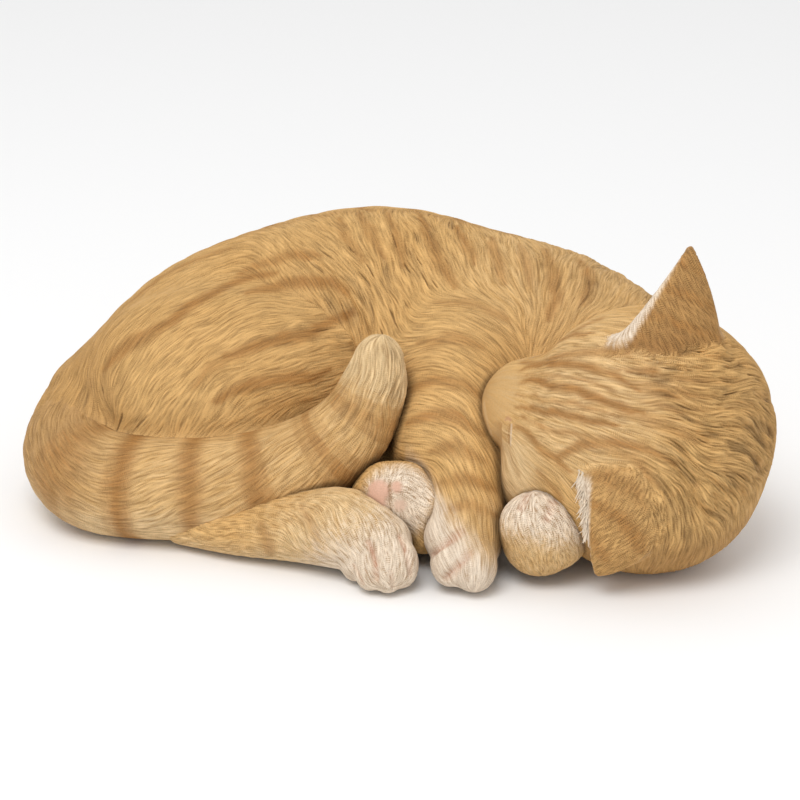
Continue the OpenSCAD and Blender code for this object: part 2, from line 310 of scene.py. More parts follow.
def gradient(field, V):
    P = cols(V)
    v = field(P).astype(float)
    g = np.empty((len(V), 3))
    for k in range(3):
        Q = P.copy()
        Q[k] += F32(0.3)
        g[:, k] = (field(Q) - v) / 0.3
    return v, g


LID = trace(f_head_plain, [(508, 436)])[0]
MOUTH = [onto(f_head_plain, np.array([face(21, 0, -4), face(19, 4 * s, -9), face(13, 10 * s, -12), face(6, 15 * s, -11)]), 4) for s in (1, -1)]


def f_head(P):
    d = f_head_plain(P)
    for c, r, k in ((face(12.5, 6.5, -6), (10, 10, 9), 5), (face(12.5, -6.5, -6), (10, 10, 9), 5), (face(8, 0, -15), (9, 9, 7), 5),
                    (face(20.5, 0, 2.5), (4.4, 4.8, 4.2), 2.5)):
        d = smin(d, egg(P, c, r), k)
    d = smin(d, egg(P, LID, (6, 6, 9)) + F32(4.6), 5)   # closed lid
    return np.maximum(d, -P[2])


def f_ear(P, base, tip, side, left, right, curl, curl_r, t0, t1, embed, bulge, round_side, open_side):
    """A curved leaf: its two edges lie left and right of the axis, curling away from the outer face."""
    base, tip = np.array(base, float), np.array(tip, float)
    a = tip - base
    ln = np.linalg.norm(a)
    a = a / ln
    s = np.array(side, float)
    s = unit(s - a * (s @ a))
    n = np.cross(a, s)
    x, y, z = P[0] - F32(base[0]), P[1] - F32(base[1]), P[2] - F32(base[2])
    u = (x * F32(a[0]) + y * F32(a[1]) + z * F32(a[2])) / F32(ln)
    w = x * F32(s[0]) + y * F32(s[1]) + z * F32(s[2])
    v = x * F32(n[0]) + y * F32(n[1]) + z * F32(n[2])
    lt, rt = ear_rims(u, left, right, round_side)
    hw = F32(0.5 * (left + right))
    c = np.where(w > 0, F32(curl_r), F32(curl))
    mid = -c * (w / hw) ** 2 + bulge * np.sin(np.clip(u, 0, 1) * math.pi)
    th = t0 + (t1 - t0) * np.clip(u, 0, 1)
    d1 = (np.abs(v - mid) - th / 2) / np.sqrt(1 + (2 * c * w / hw ** 2) ** 2)
    d2 = np.maximum(w - rt, -w - lt) * 0.8
    d = smax(d1, d2, t1 * 1.2)
    return smax(d, np.maximum((u - 1) * ln, -u * ln - embed), 1.2).astype(F32)


def ear_rims(u, left, right, round_side):
    """How far the two edges stand from the axis."""
    uc = np.clip(u, -0.4, 1.0)
    if round_side:
        top = np.sqrt(np.clip((uc + 0.16) / 0.16, 0.01, 1))
        return left * np.abs(1 - uc) ** 0.75 * top, right * np.clip(1 - ((uc - 0.36) / 0.64) ** 2, 0.0, 1) ** 0.7 * top
    flare = 1 + 0.10 * np.clip(0.3 - uc, 0, 0.5)
    return left * np.abs(1 - uc) ** 0.88 * (1 + 0.55 * np.clip(0.24 - uc, 0, 0.4)), right * np.abs(1 - uc) ** 0.95 * flare


EAR_A = dict(base=(110.7, -78.8, 96.5), tip=(115.2, -60.8, 138.8), side=(-0.935, -0.342, 0.095), left=25.5, right=26.0, curl=12.0, curl_r=11.0,
             t0=8.0, t1=3.2, embed=9.0, bulge=1.5, round_side=False, open_side=1)
EAR_B = dict(base=(91.3, -102.8, 51.5), tip=(78.4, -96.0, 9.0), side=(0.97, -0.05, -0.2), left=17.8, right=18.5, curl=4.0, curl_r=5.8,
             t0=6.5, t1=3.4, embed=8.0, bulge=4.4, round_side=True, open_side=-1)


def rooted(P, ear, skirt):
    """An ear whose foot spreads into the skin of the head and ends inside it."""
    d = smin(ear, f_head_plain(P) + F32(1.0), skirt)
    return np.maximum(smax(d, ear - F32(5.0), 2), -P[2])


def f_ear_a(P):
    return rooted(P, f_ear(P, **EAR_A), 5.5)


def f_ear_b(P):
    return rooted(P, f_ear(P, **EAR_B), 5.5)


ALL_FORMS = [f_body_solid, f_head_plain, f_tail, f_hind, f_far_paw, f_tucked, f_ear_a, f_ear_b]


def hollow_of(p, n):
    """From 0 on open ground to 1 deep in a crease between forms; it sets where the coat gets painted shade."""
    o = np.zeros(len(p), F32)
    for reach, w in ((2.0, 0.4), (5.0, 0.35), (11.0, 0.25)):
        P = cols(p + n * reach)
        f = None
        for form in ALL_FORMS:
            v = form(P)
            f = v if f is None else np.minimum(f, v)
        o += F32(w) * np.clip(1 - f / F32(reach), 0, 1)
    return o


# ------------------------------------------------------------------ skin of a form
def grid_field(field, lo, h, n):
    """The field on a lattice, worked out in full only near the surface."""
    blk = 4
    nb = -(-n // blk)
    ax = [np.array(lo[i] + h * (blk * np.arange(nb[i]) + (blk - 1) / 2), F32) for i in range(3)]
    g = np.stack(np.meshgrid(*ax, indexing="ij"), 0).reshape(3, -1)
    rough = field(np.ascontiguousarray(g)).reshape(nb)
    v = rough.repeat(blk, 0).repeat(blk, 1).repeat(blk, 2)[:n[0], :n[1], :n[2]].copy()
    near = np.argwhere(np.abs(v) < h * blk * 1.5)
    P = cols(near * h + np.array(lo))
    v[near[:, 0], near[:, 1], near[:, 2]] = field(P)
    return v


def skin(field, lo, hi, h):
    """Quad mesh where the field is zero, pulled onto the form."""
    lo = np.array(lo, float)
    n = np.ceil((np.array(hi) - lo) / h).astype(int) + 1
    v = grid_field(field, lo, h, n)
    s = v < 0
    c = np.zeros(tuple(x - 1 for x in n), np.int8)
    for i in (0, 1):
        for j in (0, 1):
            for k in (0, 1):
                c += s[i:n[0] - 1 + i, j:n[1] - 1 + j, k:n[2] - 1 + k]
    act = (c > 0) & (c < 8)
    idx = -np.ones(act.shape, np.int64)
    idx[act] = np.arange(act.sum())
    cell = np.argwhere(act)
    acc, cnt = np.zeros((len(cell), 3)), np.zeros(len(cell))
    for a in [(i, j, k) for i in (0, 1) for j in (0, 1) for k in (0, 1)]:
        for d in range(3):
            if a[d]:
                continue
            b = list(a)
            b[d] = 1
            va, vb = v[tuple((cell + a).T)], v[tuple((cell + b).T)]
            m = (va < 0) != (vb < 0)
            t = va / np.where(np.abs(va - vb) < 1e-9, 1, va - vb)
            pt = (cell + np.array(a)).astype(float)
            pt[:, d] += t
            acc[m] += pt[m]
            cnt[m] += 1
    verts = lo + h * acc / cnt[:, None]
    faces = []
    for d in range(3):
        lo_s, hi_s = [slice(None)] * 3, [slice(None)] * 3
        lo_s[d], hi_s[d] = slice(0, n[d] - 1), slice(1, n[d])
        x = s[tuple(lo_s)] != s[tuple(hi_s)]
        e1, e2 = [(1, 2), (2, 0), (0, 1)][d]
        q = np.argwhere(x)
        q = q[(q[:, e1] > 0) & (q[:, e2] > 0) & (q[:, e1] < n[e1] - 1) & (q[:, e2] < n[e2] - 1)]

        def at(o1, o2):
            w = q.copy()
            w[:, e1] += o1
            w[:, e2] += o2
            return idx[tuple(w.T)]

        quad = np.stack([at(-1, -1), at(0, -1), at(0, 0), at(-1, 0)], 1)
        out = ~s[tuple(q.T)]
        quad[out] = quad[out][:, ::-1]
        faces.append(quad)
    faces = np.concatenate(faces)
    e = np.concatenate([faces[:, [0, 1]], faces[:, [1, 2]], faces[:, [2, 3]], faces[:, [3, 0]]])
    num = (np.bincount(e[:, 0], minlength=len(verts)) + np.bincount(e[:, 1], minlength=len(verts)))[:, None]
    for rounds in range(3):
        tot = np.empty_like(verts)
        for ax in range(3):
            tot[:, ax] = np.bincount(e[:, 0], verts[e[:, 1], ax], len(verts)) + np.bincount(e[:, 1], verts[e[:, 0], ax], len(verts))
        verts = 0.5 * verts + 0.5 * tot / num
        for _ in range(1 if rounds < 2 else 2):
            val, g = gradient(field, verts)
            ln = np.linalg.norm(g, axis=1)
            verts = verts - g / np.maximum(ln, 1e-6)[:, None] * np.clip(val / np.maximum(ln, 0.4), -1.2, 1.2)[:, None]
    return verts, faces


def vertex_normals(verts, faces):
    q = verts[faces]
    fn = np.cross(q[:, 2] - q[:, 0], q[:, 3] - q[:, 1])
    n = np.empty_like(verts)
    for ax in range(3):
        n[:, ax] = sum(np.bincount(faces[:, k], fn[:, ax], len(verts)) for k in range(4))
    return rows_unit(n)


def refine(verts, norms, faces, fields, m):
    """Cuts every quad into m x m, rounded by the corner normals; fields are carried along."""
    nv, nf = len(verts), len(faces)
    a, b = faces, np.roll(faces, -1, 1)
    key = np.minimum(a, b).astype(np.int64) * nv + np.maximum(a, b)
    uniq, inv = np.unique(key.ravel(), return_inverse=True)
    inv = inv.reshape(nf, 4)
    base_i = nv + len(uniq) * (m - 1)
    total = base_i + nf * (m - 1) ** 2
    idx = np.empty((nf, m + 1, m + 1), np.int64)
    idx[:, 0, 0], idx[:, m, 0], idx[:, m, m], idx[:, 0, m] = faces.T
    fwd = a < b
    for j in range(1, m):
        on = nv + inv * (m - 1) + np.where(fwd, j - 1, m - 1 - j)
        idx[:, j, 0] = on[:, 0]
        idx[:, m, j] = on[:, 1]
        idx[:, m - j, m] = on[:, 2]
        idx[:, 0, m - j] = on[:, 3]
    for i in range(1, m):
        for j in range(1, m):
            idx[:, i, j] = base_i + np.arange(nf) * (m - 1) ** 2 + (i - 1) * (m - 1) + (j - 1)
    data = np.concatenate([norms, fields], 1).astype(F32)
    pos = np.empty((total, 3), F32)
    out = np.empty((total, data.shape[1]), F32)
    cp, cn, cd = verts[faces].astype(F32), norms[faces].astype(F32), data[faces]
    for i in range(m + 1):
        for j in range(m + 1):
            u, v = i / m, j / m
            w = ((1 - u) * (1 - v), u * (1 - v), u * v, (1 - u) * v)
            p = sum(F32(w[k]) * cp[:, k] for k in range(4))
            q = sum(F32(w[k]) * (p - cn[:, k] * np.einsum("ij,ij->i", p - cp[:, k], cn[:, k])[:, None]) for k in range(4))
            at = idx[:, i, j]
            pos[at] = p + F32(0.7) * (q - p)
            out[at] = sum(F32(w[k]) * cd[:, k] for k in range(4))
    quads = np.stack([idx[:, :-1, :-1], idx[:, 1:, :-1], idx[:, 1:, 1:], idx[:, :-1, 1:]], -1).reshape(-1, 4)
    return pos, rows_unit(out[:, :3]).astype(F32), out[:, 3:], quads


def new_mesh(name, verts, faces):
    me = bpy.data.meshes.new(name)
    me.vertices.add(len(verts))
    me.vertices.foreach_set("co", np.ascontiguousarray(verts, F32).ravel())
    k = faces.shape[1]
    me.loops.add(len(faces) * k)
    me.loops.foreach_set("vertex_index", np.ascontiguousarray(faces, np.int32).ravel())
    me.polygons.add(len(faces))
    me.polygons.foreach_set("loop_start", np.arange(0, len(faces) * k, k, dtype=np.int32))
    me.polygons.foreach_set("use_smooth", np.ones(len(faces), bool))
    me.update(calc_edges=True)
    return me


def link(name, me):
    o = bpy.data.objects.new(name, me)
    bpy.context.scene.collection.objects.link(o)
    return o


# ------------------------------------------------------------------ noise and combed strands
RNG = np.random.default_rng(20)
TABLE = RNG.random(64 ** 3).astype(F32) - F32(0.5)


def noise(p, cell, seed=0):
    q = p * F32(1.0 / cell) + F32(17.3 + 7.7 * seed)
    i = np.floor(q)
    f = q - i
    f = f * f * (3 - 2 * f)
    i = i.astype(np.int32)
    j = (i + 1) & 63
    i &= 63
    x0, y0, z0 = i[:, 0] << 12, i[:, 1] << 6, i[:, 2]
    x1, y1, z1 = j[:, 0] << 12, j[:, 1] << 6, j[:, 2]
    fx, fy, fz = f[:, 0], f[:, 1], f[:, 2]
    a00, a10, a01, a11 = x0 + y0, x1 + y0, x0 + y1, x1 + y1

    def lerp_x(lo_i, hi_i):
        lo_v = TABLE[lo_i]
        return lo_v + (TABLE[hi_i] - lo_v) * fx

    lo_z = lerp_x(a00 + z0, a10 + z0)
    lo_z += (lerp_x(a01 + z0, a11 + z0) - lo_z) * fy
    hi_z = lerp_x(a00 + z1, a10 + z1)
    hi_z += (lerp_x(a01 + z1, a11 + z1) - hi_z) * fy
    return lo_z + (hi_z - lo_z) * fz


class Surface:
    """Finds the vertex of a fine mesh near a point, through a voxel table."""

    def __init__(self, p, vox=1.1):
        self.inv = F32(1 / vox)
        self.lo = (p.min(0) - 4 * vox).astype(F32)
        self.dim = (np.ceil((p.max(0) - self.lo) / vox) + 5).astype(int)
        g = np.full(self.dim, -1, np.int32)
        k = ((p - self.lo) * self.inv).astype(np.int32)
        g[k[:, 0], k[:, 1], k[:, 2]] = np.arange(len(p), dtype=np.int32)
        for _ in range(2):
            src = g.copy()
            for ax in range(3):
                for sh in (1, -1):
                    r = np.roll(src, sh, ax)
                    np.copyto(g, r, where=(g < 0) & (r >= 0))
        self.g = g.ravel()
        self.sy, self.sx = int(self.dim[2]), int(self.dim[1] * self.dim[2])

    def find(self, x, own):
        k = ((x - self.lo) * self.inv).astype(np.int32)
        np.clip(k, 0, self.dim - 1, out=k)
        j = self.g[k[:, 0] * self.sx + k[:, 1] * self.sy + k[:, 2]]
        return np.where(j < 0, own, j)


def comb(p, n, d, specs, step=0.8):
    """Noise drawn out along the lie of the fur, one result for each (cell, length, seed, every)."""
    surf = Surface(p)
    pack = np.concatenate([p, n, d], 1)
    kmax = int(max(s[1] for s in specs) / 2 / step)
    acc = [np.empty(len(p), F32) for _ in specs]

    def slice_of(lo, hi):
        own = np.arange(lo, hi, dtype=np.int32)
        part = [noise(p[lo:hi], s[0], s[2]) for s in specs]
        for sgn in (F32(1), F32(-1)):
            x, dd, j = p[lo:hi].copy(), d[lo:hi] * sgn, own
            for k in range(1, kmax + 1):
                x += F32(step) * dd
                j = surf.find(x, j)
                row = pack[j]
                nn = row[:, 3:6]
                x -= nn * np.einsum("ij,ij->i", x - row[:, :3], nn)[:, None]
                dd = row[:, 6:] * sgn
                for i, s in enumerate(specs):
                    half = s[1] / 2
                    if k % s[3] or k * step > half:
                        continue
                    part[i] += F32(0.5 + 0.5 * math.cos(math.pi * k * step / half)) * noise(x, s[0], s[2])
        for a, b in zip(acc, part):
            a[lo:hi] = b

    size = 40000
    with ThreadPoolExecutor(4) as pool:
        list(pool.map(lambda lo: slice_of(lo, min(lo + size, len(p))), range(0, len(p), size)))
    return [((a - a.mean()) / (a.std() + 1e-9)).astype(F32) for a in acc]


def smooth(e0, e1, x):
    t = np.clip((x - e0) / (e1 - e0), 0, 1)
    return t * t * (3 - 2 * t)


def tangent(d, n):
    d = d - n * np.einsum("ij,ij->i", d, n)[:, None]
    return rows_unit(d)


def turned(d, n, ang):
    return d * np.cos(ang)[:, None] + np.cross(n, d) * np.sin(ang)[:, None]


# ------------------------------------------------------------------ strokes laid over the photo's frame
def drawn(field, strokes, per=5):
    """Photo-frame polylines as 3-D polylines on a form, all traced at once."""
    fine, owner = [], []
    for k, pts in enumerate(strokes):
        pts = np.array(pts, float)
        fine.append(pts[0])
        owner.append(k)
        for a, b in zip(pts[:-1], pts[1:]):
            for i in range(1, per + 1):
                fine.append(a + (b - a) * i / per)
                owner.append(k)
    q, owner = trace(field, np.array(fine)), np.array(owner)
    out = []
    for k in range(len(strokes)):
        r = q[owner == k]
        r = r[~np.isnan(r[:, 0])]
        out.append(r if len(r) > 1 else None)
    return out


def line_dist(p, q, far=12.0, taper=False):
    best = np.full(len(p), 1e6, F32)
    if q is None:
        return best
    near = np.nonzero(((p > (q.min(0) - far).astype(F32)) & (p < (q.max(0) + far).astype(F32))).all(1))[0]
    if len(near) == 0:
        return best
    P = cols(p[near])
    b = None
    for i, (a, c) in enumerate(zip(q[:-1], q[1:])):
        d, _ = segment(P, a, c)
        if taper:   # narrower towards both ends
            d = d / F32(0.35 + 0.65 * math.sin(math.pi * (i + 0.5) / (len(q) - 1)) ** 0.7)
        b = d if b is None else np.minimum(b, d)
    best[near] = b
    return best


def flow_field(p, lines, default, soft=9.0, weight=1.0):
    """Directions blended from drawn lines, over a default direction for each point."""
    pos, dirs = [], []
    for q in lines:
        if q is None:
            continue
        seg = q[1:] - q[:-1]
        ln = np.linalg.norm(seg, axis=1)
        ok = (ln > 0.2) & (ln < 25)
        pos.append(((q[1:] + q[:-1]) / 2)[ok])
        dirs.append((seg / np.maximum(ln, 1e-6)[:, None])[ok])
    pos, dirs = np.concatenate(pos), np.concatenate(dirs)
    acc = default * (weight / 60.0 ** 4)
    for i in range(0, len(p), 6000):
        c = p[i:i + 6000].astype(float)
        d2 = (c ** 2).sum(1)[:, None] + (pos ** 2).sum(1)[None] - 2 * c @ pos.T
        acc[i:i + 6000] += (1.0 / (np.maximum(d2, 0) + soft * soft) ** 2) @ dirs
    return acc


def marks(p, field, table):
    """Strength of drawn stripes."""
    m = np.zeros(len(p), F32)
    loose = p + 2.4 * np.stack([noise(p.astype(F32), 6.5, 71 + i) for i in range(3)], 1)
    for q, (_, half, strength) in zip(drawn(field, [t[0] for t in table]), table):
        m = np.maximum(m, strength * (1 - smooth(half * 0.22, half * 1.6, line_dist(loose, q, 12.0, True))))
    return m


def blob(p, c, r, soft=0.35):
    d = p - np.asarray(c)
    return 1 - smooth(r * (1 - soft), r * (1 + soft), np.sqrt(np.einsum("ij,ij->i", d, d)))


# ------------------------------------------------------------------ colours of the paint, also used for painted shade and highlight (screen values)
def paint(r, g, b):
    c = np.array([r, g, b], float) / 255.0
    return np.where(c <= 0.04045, c / 12.92, ((c + 0.055) / 1.055) ** 2.4).astype(F32)


TAN = paint(197, 154, 94)
TAN_LIGHT = paint(215, 179, 122)
TAN_DARK = paint(176, 131, 73)
STRIPE = paint(154, 107, 53)
# dark wash of the paint, also laid as painted shade in creases between forms
WASH_AND_SHADE = paint(72, 49, 23)
CREAM = paint(212, 185, 142)
WHITE = paint(217, 201, 181)
PINK = paint(208, 160, 136)
PINK_DEEP = paint(182, 134, 108)
UMBER = paint(142, 101, 54)

KEYS = ["stripe", "white", "cream", "pink", "umber", "amp", "slit", "clump", "lift", "hollow"]
START = dict(stripe=0, white=0, cream=0, pink=0, umber=0, amp=1, slit=0.3, clump=0.3, lift=0, hollow=0)
PIECES = {}


def fur_piece(name, field, lo, hi, h, lie, zones, node, fine_lines=(), cells=(0.42, 1.0), reach=1.0, m=6):
    """One furred casting: skin, combed relief, painted colour."""
    verts, faces = skin(field, lo, hi, h)
    norms = vertex_normals(verts, faces)
    d, wave = lie(verts, norms)
    d = tangent(d, norms)
    wob = (noise(verts.astype(F32), 13.0, 3) * 0.6 + noise(verts.astype(F32), 5.0, 4) * 0.38) * wave
    d = tangent(turned(d, norms, wob), norms)
    z = {k: np.full(len(verts), float(v)) for k, v in START.items()}
    z["hollow"] = hollow_of(verts, norms).astype(float)
    z.update(zones(verts, norms))
    table = np.stack([z[k] for k in KEYS], 1)
    p, n, f, quads = refine(verts, norms, faces, np.concatenate([d, table], 1), m)
    d = tangent(f[:, :3], n).astype(F32)
    z = {k: f[:, 3 + i] for i, k in enumerate(KEYS)}
    A, B, C, D, E = comb(p, n, d, [(cells[0], 9.6 * reach, 11, 1), (cells[1], 13.0 * reach, 12, 1), (0.75, 17.0 * reach, 13, 1), (0.95, 17.0 * reach, 14, 2),
                                 (3.2, 22.0 * reach, 15, 3)])
    # relief
    amp, slit, clump = z["amp"], z["slit"], z["clump"]
    ridge = np.tanh(1.2 * (A + 0.25))
    cut = smooth(1.45, 2.5, -C) * slit
    lock = np.tanh(1.1 * E)
    height = amp * (0.18 * ridge + 0.05 * np.tanh(B) + 0.6 * clump * lock) - 0.6 * np.minimum(amp, 1.5) * cut + z["lift"]
    # paint, which also lays painted shade and painted highlight
    broken = 0.34 * D + 0.4 * A + 0.15 * B

    def mask(k, give=1.0):
        x = z[k]
        return np.clip(x + give * x * (1 - x) * broken, 0, 1)

    col = np.repeat(TAN[None], len(p), 0)

    def lay(target, w):
        nonlocal col
        col += (target - col) * w[:, None]

    patch = noise(p, 27.0, 21) + 0.6 * noise(p, 12.0, 22)
    t = 0.10 * D + 0.03 * B + 0.14 * A
    lay(TAN_LIGHT, np.clip(0.22 + 0.34 * t + 0.30 * patch, 0, 1) * 0.9)
    lay(TAN_DARK, np.clip(-0.08 - 0.36 * t - 0.34 * patch, 0, 0.8))
    # cream tone, and a painted highlight on the crown of the head
    lay(CREAM, mask("cream"))
    # umber tone, together with painted shade on the head's underside and far side, the ear bases, the left ends of
    # body and tail and the tucked paw's foot
    lay(UMBER, mask("umber", 0.7))
    lay(STRIPE, mask("stripe", 1.1) * 0.92)
    lay(WHITE, mask("white"))
    lay(PINK, np.clip(z["pink"], 0, 1))
    flat = np.clip(amp, 0, 1)
    groove = smooth(0.2, 1.5, -(0.98 * A + 0.1 * B)) * flat
    deep_lock = smooth(0.2, 1.6, -E) * clump
    fair = np.clip(z["white"] + 0.5 * z["cream"], 0, 1)
    lay(WASH_AND_SHADE, np.clip((0.56 * groove + 0.42 * deep_lock) * (1 - fair) + 0.8 * cut, 0, 0.85) * 0.85)
    lay(UMBER, np.clip((1.0 * groove + 0.34 * deep_lock) * fair, 0, 0.9) * 0.85)
    top = smooth(0.2, 1.5, 0.98 * A + 0.08 * B) * flat
    col *= (1 + (0.27 + 0.05 * fair) * top)[:, None]
    # painted shade in the creases between forms, over the dark wash the statue has there
    lay(WASH_AND_SHADE, smooth(0.42, 1.05, z["hollow"] + 0.05 * A) * 0.55)
    for line, half, deep, tint, strength in fine_lines:
        dist = line_dist(p, line, 4.0)
        g = 1 - smooth(half * 0.2, half * 1.6, dist)
        height -= deep * g
        lay(tint, strength * g * (1 - 0.75 * flat * smooth(-0.6, 0.9, A)))
    p2 = p + n * height[:, None].astype(F32)
    p2[:, 2] = np.maximum(p2[:, 2], 0.0)
    low = p[:, 2] < 0.05
    p2[low] = p[low]
    o = link(name, new_mesh(name, (p2 + PLACE.astype(F32)) * F32(0.001), quads))
    a = o.data.attributes.new("coat", "FLOAT_COLOR", "POINT")
    rgba = np.ones((len(p), 4), F32)
    rgba[:, :3] = np.clip(col, 0, 1)
    a.data.foreach_set("color", rgba.ravel())
    b = o.data.attributes.new("relief", "FLOAT", "POINT")
    b.data.foreach_set("value", np.clip(0.5 + 0.25 * (ridge + 0.5 * B) * flat, 0, 1).astype(F32))
    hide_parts(node)
    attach(o, "statue")
    PIECES[name] = o
    return o


# ------------------------------------------------------------------ body
BODY_LIE = [
    [(112, 415), (130, 385), (160, 350), (200, 318), (250, 292), (300, 285), (350, 300)],
    [(76, 395), (95, 368), (125, 335), (160, 300), (200, 272), (250, 256), (300, 262), (345, 276)],
    [(172, 428), (185, 400), (210, 372), (250, 350), (300, 338), (357, 330)],
    [(222, 424), (240, 398), (270, 380), (310, 368), (352, 350)],
    [(262, 425), (275, 410), (300, 392), (340, 375)],
    [(150, 285), (195, 258), (240, 242), (290, 240), (318, 250)],
    [(290, 226), (315, 243), (338, 265), (356, 292), (367, 318), (373, 334)],
    [(325, 219), (350, 245), (370, 275), (384, 305), (392, 330)],
    [(350, 213), (368, 245), (384, 280), (398, 312), (404, 335)],
    [(378, 211), (388, 240), (400, 270), (412, 298)],
    [(405, 212), (412, 240), (422, 268), (436, 292)],
    [(440, 220), (450, 245), (464, 272), (484, 294)],
    [(480, 236), (490, 258), (505, 285), (520, 305)],
    [(525, 248), (530, 270), (535, 300), (532, 330)],
    [(570, 258), (566, 280), (555, 310), (540, 340)],
    [(605, 276), (595, 295), (575, 320), (552, 345)],
    [(632, 296), (615, 312), (590, 328), (565, 342)],
    [(408, 318), (440, 308), (475, 305), (505, 315), (525, 338)],
    [(408, 345), (440, 332), (470, 332), (500, 345), (515, 362)],
    [(412, 360), (430, 352), (455, 355), (478, 372), (487, 395)],
    [(408, 385), (430, 378), (455, 384), (475, 405), (482, 425)],
    [(410, 420), (430, 415), (455, 425), (470, 445), (480, 470)],
    [(415, 450), (435, 450), (455, 465), (470, 490), (478, 510)],
    [(440, 480), (450, 500), (460, 530), (462, 560)],
    [(465, 475), (475, 505), (480, 540), (478, 575)],
    [(435, 520), (440, 550), (455, 585)],
    [(44, 425), (56, 395), (72, 360)],
    [(66, 390), (84, 355), (110, 318)],
]
BODY_MARKS = [
    ([(158, 332), (178, 316), (200, 300), (228, 285), (253, 277), (275, 273)], 3.45, 0.94),
    ([(104, 368), (120, 352), (135, 342), (155, 331), (172, 320)], 3.68, 0.77),
    ([(224, 357), (255, 346), (281, 340), (310, 333), (335, 322), (354, 310)], 3.22, 0.95),
    ([(215, 402), (235, 390), (253, 385), (280, 381), (309, 377), (330, 370)], 3.22, 0.88),
    ([(246, 294), (280, 286), (310, 282), (331, 284), (347, 292)], 3.45, 0.88),
    ([(128, 304), (160, 278), (195, 260), (230, 249)], 3.22, 0.55),
    ([(236, 278), (262, 264), (290, 255), (318, 256)], 3.22, 0.66),
    ([(190, 390), (212, 368), (236, 354)], 2.76, 0.44),
    ([(258, 412), (285, 401), (312, 398)], 2.53, 0.39),
    ([(338, 218), (348, 240), (362, 262)], 2.76, 0.61),
    ([(360, 213), (372, 235), (384, 258)], 2.76, 0.66),
    ([(386, 210), (397, 235), (404, 265)], 2.76, 0.61),
    ([(420, 214), (430, 240), (442, 268), (456, 288)], 3.22, 0.72),
    ([(455, 226), (466, 245), (474, 264)], 2.99, 0.66),
    ([(490, 238), (498, 262), (502, 284)], 3.22, 0.66),
    ([(520, 244), (527, 266), (530, 290)], 2.76, 0.44),
    ([(545, 250), (552, 268), (556, 295), (548, 320)], 3.45, 0.72),
    ([(580, 260), (590, 280), (583, 304)], 3.22, 0.61),
    ([(436, 302), (475, 303), (508, 320)], 4.14, 0.44),
    ([(418, 345), (450, 338), (482, 346)], 3.91, 0.55),
    ([(408, 390), (435, 381), (465, 384), (488, 400)], 3.45, 0.66),
    ([(408, 424), (430, 415), (460, 419), (486, 436)], 3.45, 0.72),
    ([(430, 452), (455, 446), (484, 460)], 3.22, 0.55),
    ([(438, 484), (465, 478), (496, 490)], 3.45, 0.66),
    ([(440, 510), (465, 505), (498, 516)], 2.99, 0.5),
]


def thigh_share(p):
    P = cols(p)
    rest = np.minimum(chain(P, TORSO), egg(P, (26, 4, 50), (38, 36, 38)))
    root = chain(P, ROOT)
    thigh = np.minimum(egg(P, (-76, 8, 48), (64, 42, 46)), root)
    return np.maximum(smooth(1.5, -1.5, thigh - rest - 2.5), smooth(-52, -76, p[:, 0]) * smooth(80, 60, p[:, 1]))


def body_lie(p, n):
    lines = drawn(f_body_solid, BODY_LIE)
    pos, tan, total = along(cols(p), TORSO)
    default = tangent(-0.9 * tan + np.array([0, 0, -0.6]), n)
    leg = (smooth(40, 10, p[:, 2]) * (p[:, 1] < -30))[:, None]
    default = default * (1 - leg) + leg * np.array([0.1, -0.6, -0.7])
    thigh = lines[:6] + lines[26:]
    w = thigh_share(p)[:, None]
    d = rows_unit(flow_field(p, thigh, default)) * w + rows_unit(flow_field(p, lines[6:26], default)) * (1 - w)
    back = smooth(52, 76, p[:, 1])[:, None]
    pos, tan, total = along(cols(p), np.concatenate([ROOT, TAIL[2:6]]))
    end = (smooth(-112, -126, p[:, 0]))[:, None]
    d = d * (1 - end) - end * tan
    return d * (1 - back) + default * back, 1.0


